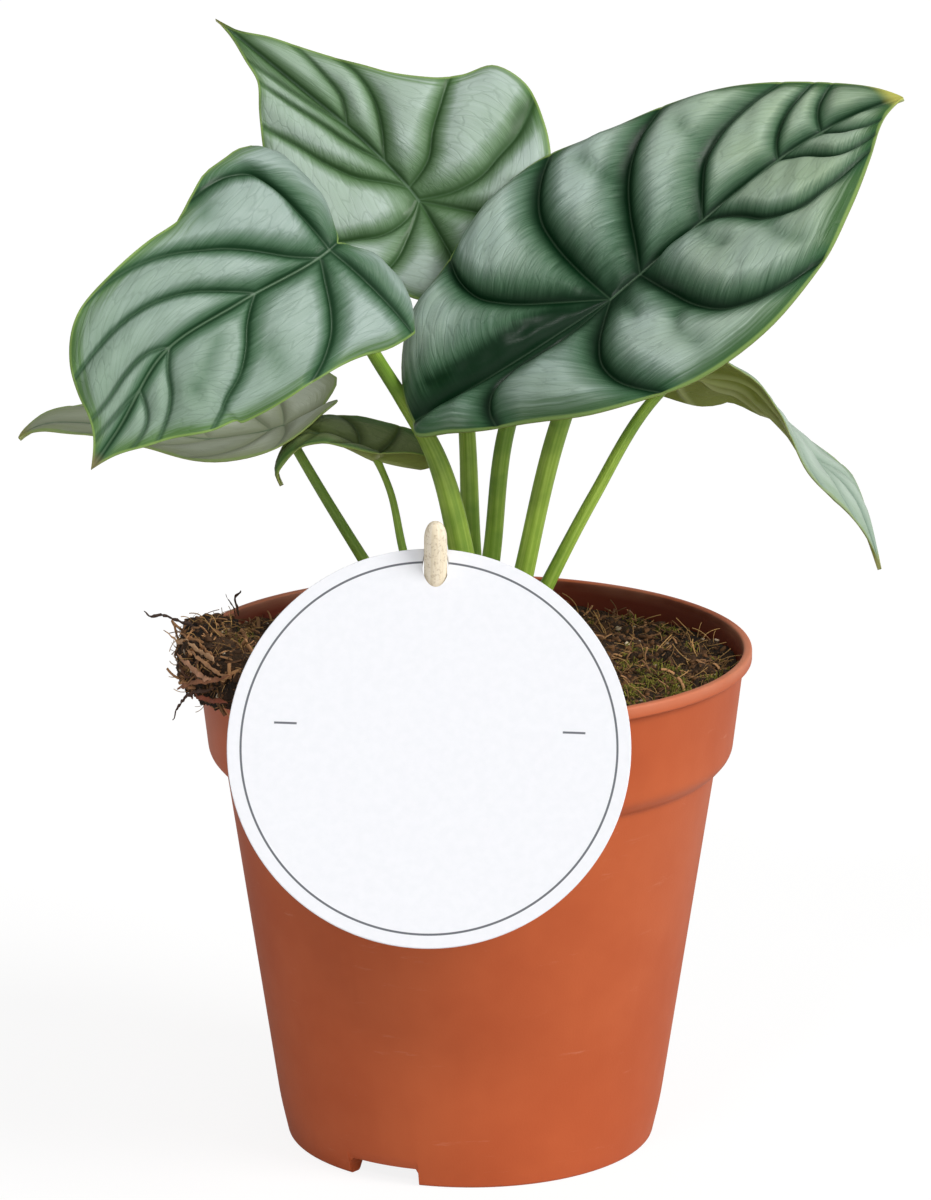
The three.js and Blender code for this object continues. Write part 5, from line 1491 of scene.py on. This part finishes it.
def scatterTree(name, kind):
    tree = bpy.data.node_groups.new(name + "Scatter", "GeometryNodeTree")
    sockets = {}
    for label, socketType in scatterInputs.items():
        sockets[label] = tree.interface.new_socket(label, in_out="INPUT", socket_type=socketType)
    tree.interface.new_socket("Litter", in_out="OUTPUT", socket_type="NodeSocketGeometry")
    outputs = addNode(tree, "NodeGroupInput").outputs
    given = {label: nodeValue(tree, outputs[label]) for label in scatterInputs}
    where = valueOf(tree, "GeometryNodeInputNamedAttribute", {"Name": given["Where"]}, data_type="FLOAT")
    ground = {"Mesh": given["Ground"], "Density": given["Density"] * where, "Seed": given["Seed"]}
    spread = addNode(tree, "GeometryNodeDistributePointsOnFaces", ground).outputs
    draw = {2: given["Smallest"], 3: given["Largest"], "Seed": given["Seed"]}
    size = valueOf(tree, "FunctionNodeRandomValue", draw, 1, data_type="FLOAT")
    lumpy = kind in lumpLevels
    shape = lumpShape(tree, lumpLevels[kind]) if lumpy else strandShapes(tree, *strandForms[kind])
    placed = valueOf(tree, "GeometryNodeInstanceOnPoints", {
        "Points": nodeValue(tree, spread["Points"]), "Instance": shape, "Pick Instance": True,
        "Rotation": nodeValue(tree, spread["Rotation"]), "Scale": size,
    })
    draw = {0: (-0.5, -0.5, 0.0), 1: (0.5, 0.5, 6.283), "Seed": 7}
    turn = valueOf(tree, "FunctionNodeRandomValue", draw, data_type="FLOAT_VECTOR")
    turned = valueOf(tree, "GeometryNodeRotateInstances", {"Instances": placed, "Rotation": turn})
    tint = valueOf(tree, "FunctionNodeRandomValue", {"Seed": 11}, 1, data_type="FLOAT")
    stored = {"Geometry": turned, "Name": "tint", "Value": tint}
    stored = valueOf(tree, "GeometryNodeStoreNamedAttribute", stored, data_type="FLOAT", domain="INSTANCE")
    real = valueOf(tree, "GeometryNodeRealizeInstances", {"Geometry": stored})
    painted = valueOf(tree, "GeometryNodeSetMaterial", {"Geometry": real, "Material": given["Finish"]})
    join(tree, painted, addNode(tree, "NodeGroupOutput").inputs[0])
    return tree, sockets


def makeLitter(name, settings, ground, material):
    tree, sockets = scatterTree(name, settings["shape"])
    piece = bpy.data.objects.new("soil_" + name, ground.data.copy())
    scene.collection.objects.link(piece)
    scatter = piece.modifiers.new("scatter", "NODES")
    scatter.node_group = tree
    values = {
        "Density": settings["density"] / (10 * mm) ** 2, "Smallest": settings["small"],
        "Largest": settings["large"], "Seed": settings["seed"], "Finish": material, "Where": settings["where"],
    }
    for label, value in values.items():
        scatter[sockets[label].identifier] = value
    settle(piece)
    piece.data.shade_smooth()
    print("litter:", name, len(piece.data.polygons), "faces")
    return carry(piece, "peat")


# Tag and stick

tagForm = {
    "radius": 41,
    "thickness": 0.7,
    "centre": (-8.5, -63.1, 103.8),
    "lean": 25,
    "turn": 2,
    "holeUp": 37.6,
    "clearance": 0.35,
    "ring": 38.2,
    "ringWidth": 0.42,
    "dashFrom": 27.0,
    "dashTo": 31.6,
    "dashUp": 4.0,
    "dashWidth": 0.45,
    "soft": 0.12,  # how far the edge of the paper is rounded
}

stickForm = {"radius": 2.35, "lean": 12, "above": 9.8, "below": 64}


def tagAxes():
    lean, turn = math.radians(tagForm["lean"]), math.radians(tagForm["turn"])
    face = Vector((0, -math.cos(lean), math.sin(lean)))
    up = Vector((math.sin(turn), math.sin(lean) * math.cos(turn), math.cos(lean) * math.cos(turn)))
    return face, up, up.cross(face).normalized()


def stickPlace():
    # the middle of the tag's hole, and the way that the stick points
    lean = math.radians(stickForm["lean"])
    hole = Vector(tagForm["centre"]) + tagAxes()[1] * tagForm["holeUp"]
    return hole, Vector((0, -math.sin(lean), math.cos(lean)))


def turnedAlong(name, profile, segments, origin, axis, material):
    # a round bar along an axis, from [radius, distance along the axis]
    axis = axis.normalized()
    side = Vector((1, 0, 0))
    side = (side - axis * side.dot(axis)).normalized()
    other = axis.cross(side)
    points, rings, places = [], [], []
    for r, s in profile:
        if r < 1e-6:
            rings.append([len(points)] * segments)
            points.append(origin + axis * s)
            places.append((0, s))
            continue
        rings.append([len(points) + k for k in range(segments)])
        for k in range(segments):
            a = 2 * math.pi * k / segments
            points.append(origin + axis * s + side * r * math.cos(a) + other * r * math.sin(a))
            places.append((k / segments, s))
    return meshPiece(name, points, ringFaces(rings), material), places


def makeTag(material):
    form = tagForm
    face, up, right = tagAxes()
    centre = Vector(form["centre"])
    radius, thick, soft = form["radius"], form["thickness"], form["soft"]
    profile = [(0, -thick), (radius - soft, -thick), (radius, soft - thick)]
    profile += [(radius, -soft), (radius - soft, 0), (0, 0)]
    tag, _ = turnedAlong("tag_look", profile, 200, centre, face, material)
    bore, reach = stickForm["radius"] + form["clearance"], 12
    profile = [(0, -reach), (bore, -reach), (bore, reach), (0, reach)]
    cutAway(tag, turnedAlong("tagCutter", profile, 48, *stickPlace(), material)[0])
    offsets = [vertex.co / mm - centre for vertex in tag.data.vertices]
    uvFromPoints(tag, "sheet", [(off.dot(right) / 100, off.dot(up) / 100) for off in offsets])
    pointValues(tag, "front", [1.0 if off.dot(face) > -0.3 * thick else 0.0 for off in offsets])
    sharpen(tag, 30)
    return carry(tag, "tag_paper", "tag")


tagShades = {
    "paper": (241, 242, 247),
    "paperDim": (235, 237, 242),
    "ink": (92, 95, 102),
}


def tagMaterial():
    form = tagForm
    material, tree, shader = newMaterial("tagPaper", IOR=1.4, Roughness=0.62)
    sheet = uvOf(tree, "sheet")
    blotches, grains = mottleOf(stretchOf(sheet, 100.0, 100.0, 1.0), 0.5, 14.0)
    x, y = [part * 100.0 for part in partsOf(sheet)[:2]]
    off = mathOf("ABSOLUTE", mathOf("SQRT", x * x + y * y) - form["ring"])
    ring = rangeOf(off, form["ringWidth"] * 0.4, form["ringWidth"] * 0.65, 1.0, 0.0)
    middle = (form["dashFrom"] + form["dashTo"]) / 2
    span = (form["dashTo"] - form["dashFrom"]) / 2
    aside = mathOf("ABSOLUTE", mathOf("ABSOLUTE", x) - middle)
    high = mathOf("ABSOLUTE", y - form["dashUp"])
    dash = rangeOf(aside, span - 0.08, span + 0.08, 1.0, 0.0) * rangeOf(
        high, form["dashWidth"] * 0.35, form["dashWidth"] * 0.65, 1.0, 0.0)
    ink = mathOf("MAXIMUM", ring, dash) * attributeOf(tree, "front")
    paper = blendOf(blotches * 0.5, tagShades["paper"], tagShades["paperDim"])
    colour = blendOf(ink * rangeOf(grains, 0.2, 0.6, 0.8, 1.0), paper, tagShades["ink"])
    connect(tree, shader, Base_Color=colour, Normal=bumpOf(grains, 0.12, 0.0002))
    return material


def makeStick(material):
    r, top, below = [stickForm[key] for key in ("radius", "above", "below")]
    profile = [(0, -below), (r * 0.45, -below), (r * 0.98, -below + 4)]
    profile += [(r, mix(-below + 6, top - 4.4, k / 30)) for k in range(31)]
    crown = [math.pi / 2 * k / 9 for k in range(1, 9)]  # the rounded top
    profile += [(r * math.cos(a) ** 0.8, top - 4 + 4 * math.sin(a)) for a in crown]
    profile.append((0, top))
    stick, places = turnedAlong("stick_look", profile, 48, *stickPlace(), material)
    wrapGrain(stick, places)
    return carry(stick, "stick_wood", "stick")


stickShades = {
    "pale": (252, 240, 218),
    "cream": (243, 228, 198),
    "pores": (190, 164, 126),
}


def stickMaterial():
    material, tree, shader = newMaterial("paleBamboo", IOR=1.42, Roughness=0.66)
    coarse, fine = streaksOf(uvOf(tree, "grain"), 16.0, 4.0, 1.0)
    _, grains = mottleOf(objectCoordinates(tree), 160.0, 1800.0)
    colour = blendOf(rangeOf(coarse, 0.35, 0.65), stickShades["pale"], stickShades["cream"])
    colour = blendOf(rangeOf(grains, 0.5, 0.75, 0.0, 0.6), colour, stickShades["pores"])
    connect(tree, shader, Base_Color=colour, Normal=bumpOf(fine + grains * 0.4, 0.5, 0.0004))
    return material


def makeFloor():
    # it looks white and takes only a faint shadow, while it lights the plant from below as a pale table does
    material, tree, shader = newMaterial("paleFloor", Roughness=0.9, Emission_Strength=1.0)
    seen = valueOf(tree, "ShaderNodeLightPath", output="Is Camera Ray")
    pale, faint, glow = [(*[studio[key]] * 3, 1) for key in ("floorShade", "floorShadeSeen", "floorGlow")]
    shade = blendOf(seen, pale, faint)
    connect(tree, shader, Base_Color=shade, Emission_Color=blendOf(seen, (0, 0, 0, 1), glow))
    r = studio["floorReach"]
    corners = [(-r, -r, 0), (r, -r, 0), (r, r, 0), (-r, r, 0)]
    meshPiece("floor", corners, [[0, 1, 2, 3]], material, smooth=False)


makeStudio()
makeFloor()
makePot(potMaterial())
print("pot done")
peat = peatMaterial()
soil = makeSoil(peat)
clump = makeClump(peat)
for name, settings in scatters.items():
    material = litterMaterial(settings["finish"])
    makeLitter(name, settings, soil, material)
    if name not in ("moss", "flakes"):
        makeLitter(name + "_clump", settings, clump, material)
makeStrands(strandMaterial())
carry(soil, "peat", "soil")
carry(clump, "peat")
print("soil done")
stalkSkin = stalkMaterial()
for name, leaf in leaves.items():
    makeBlade(name, leaf, bladeMaterial(name))
    makeStalk(name, stalkSkin)
    print("leaf done:", name)
makeTag(tagMaterial())
makeStick(stickMaterial())
print("tag and stick done")
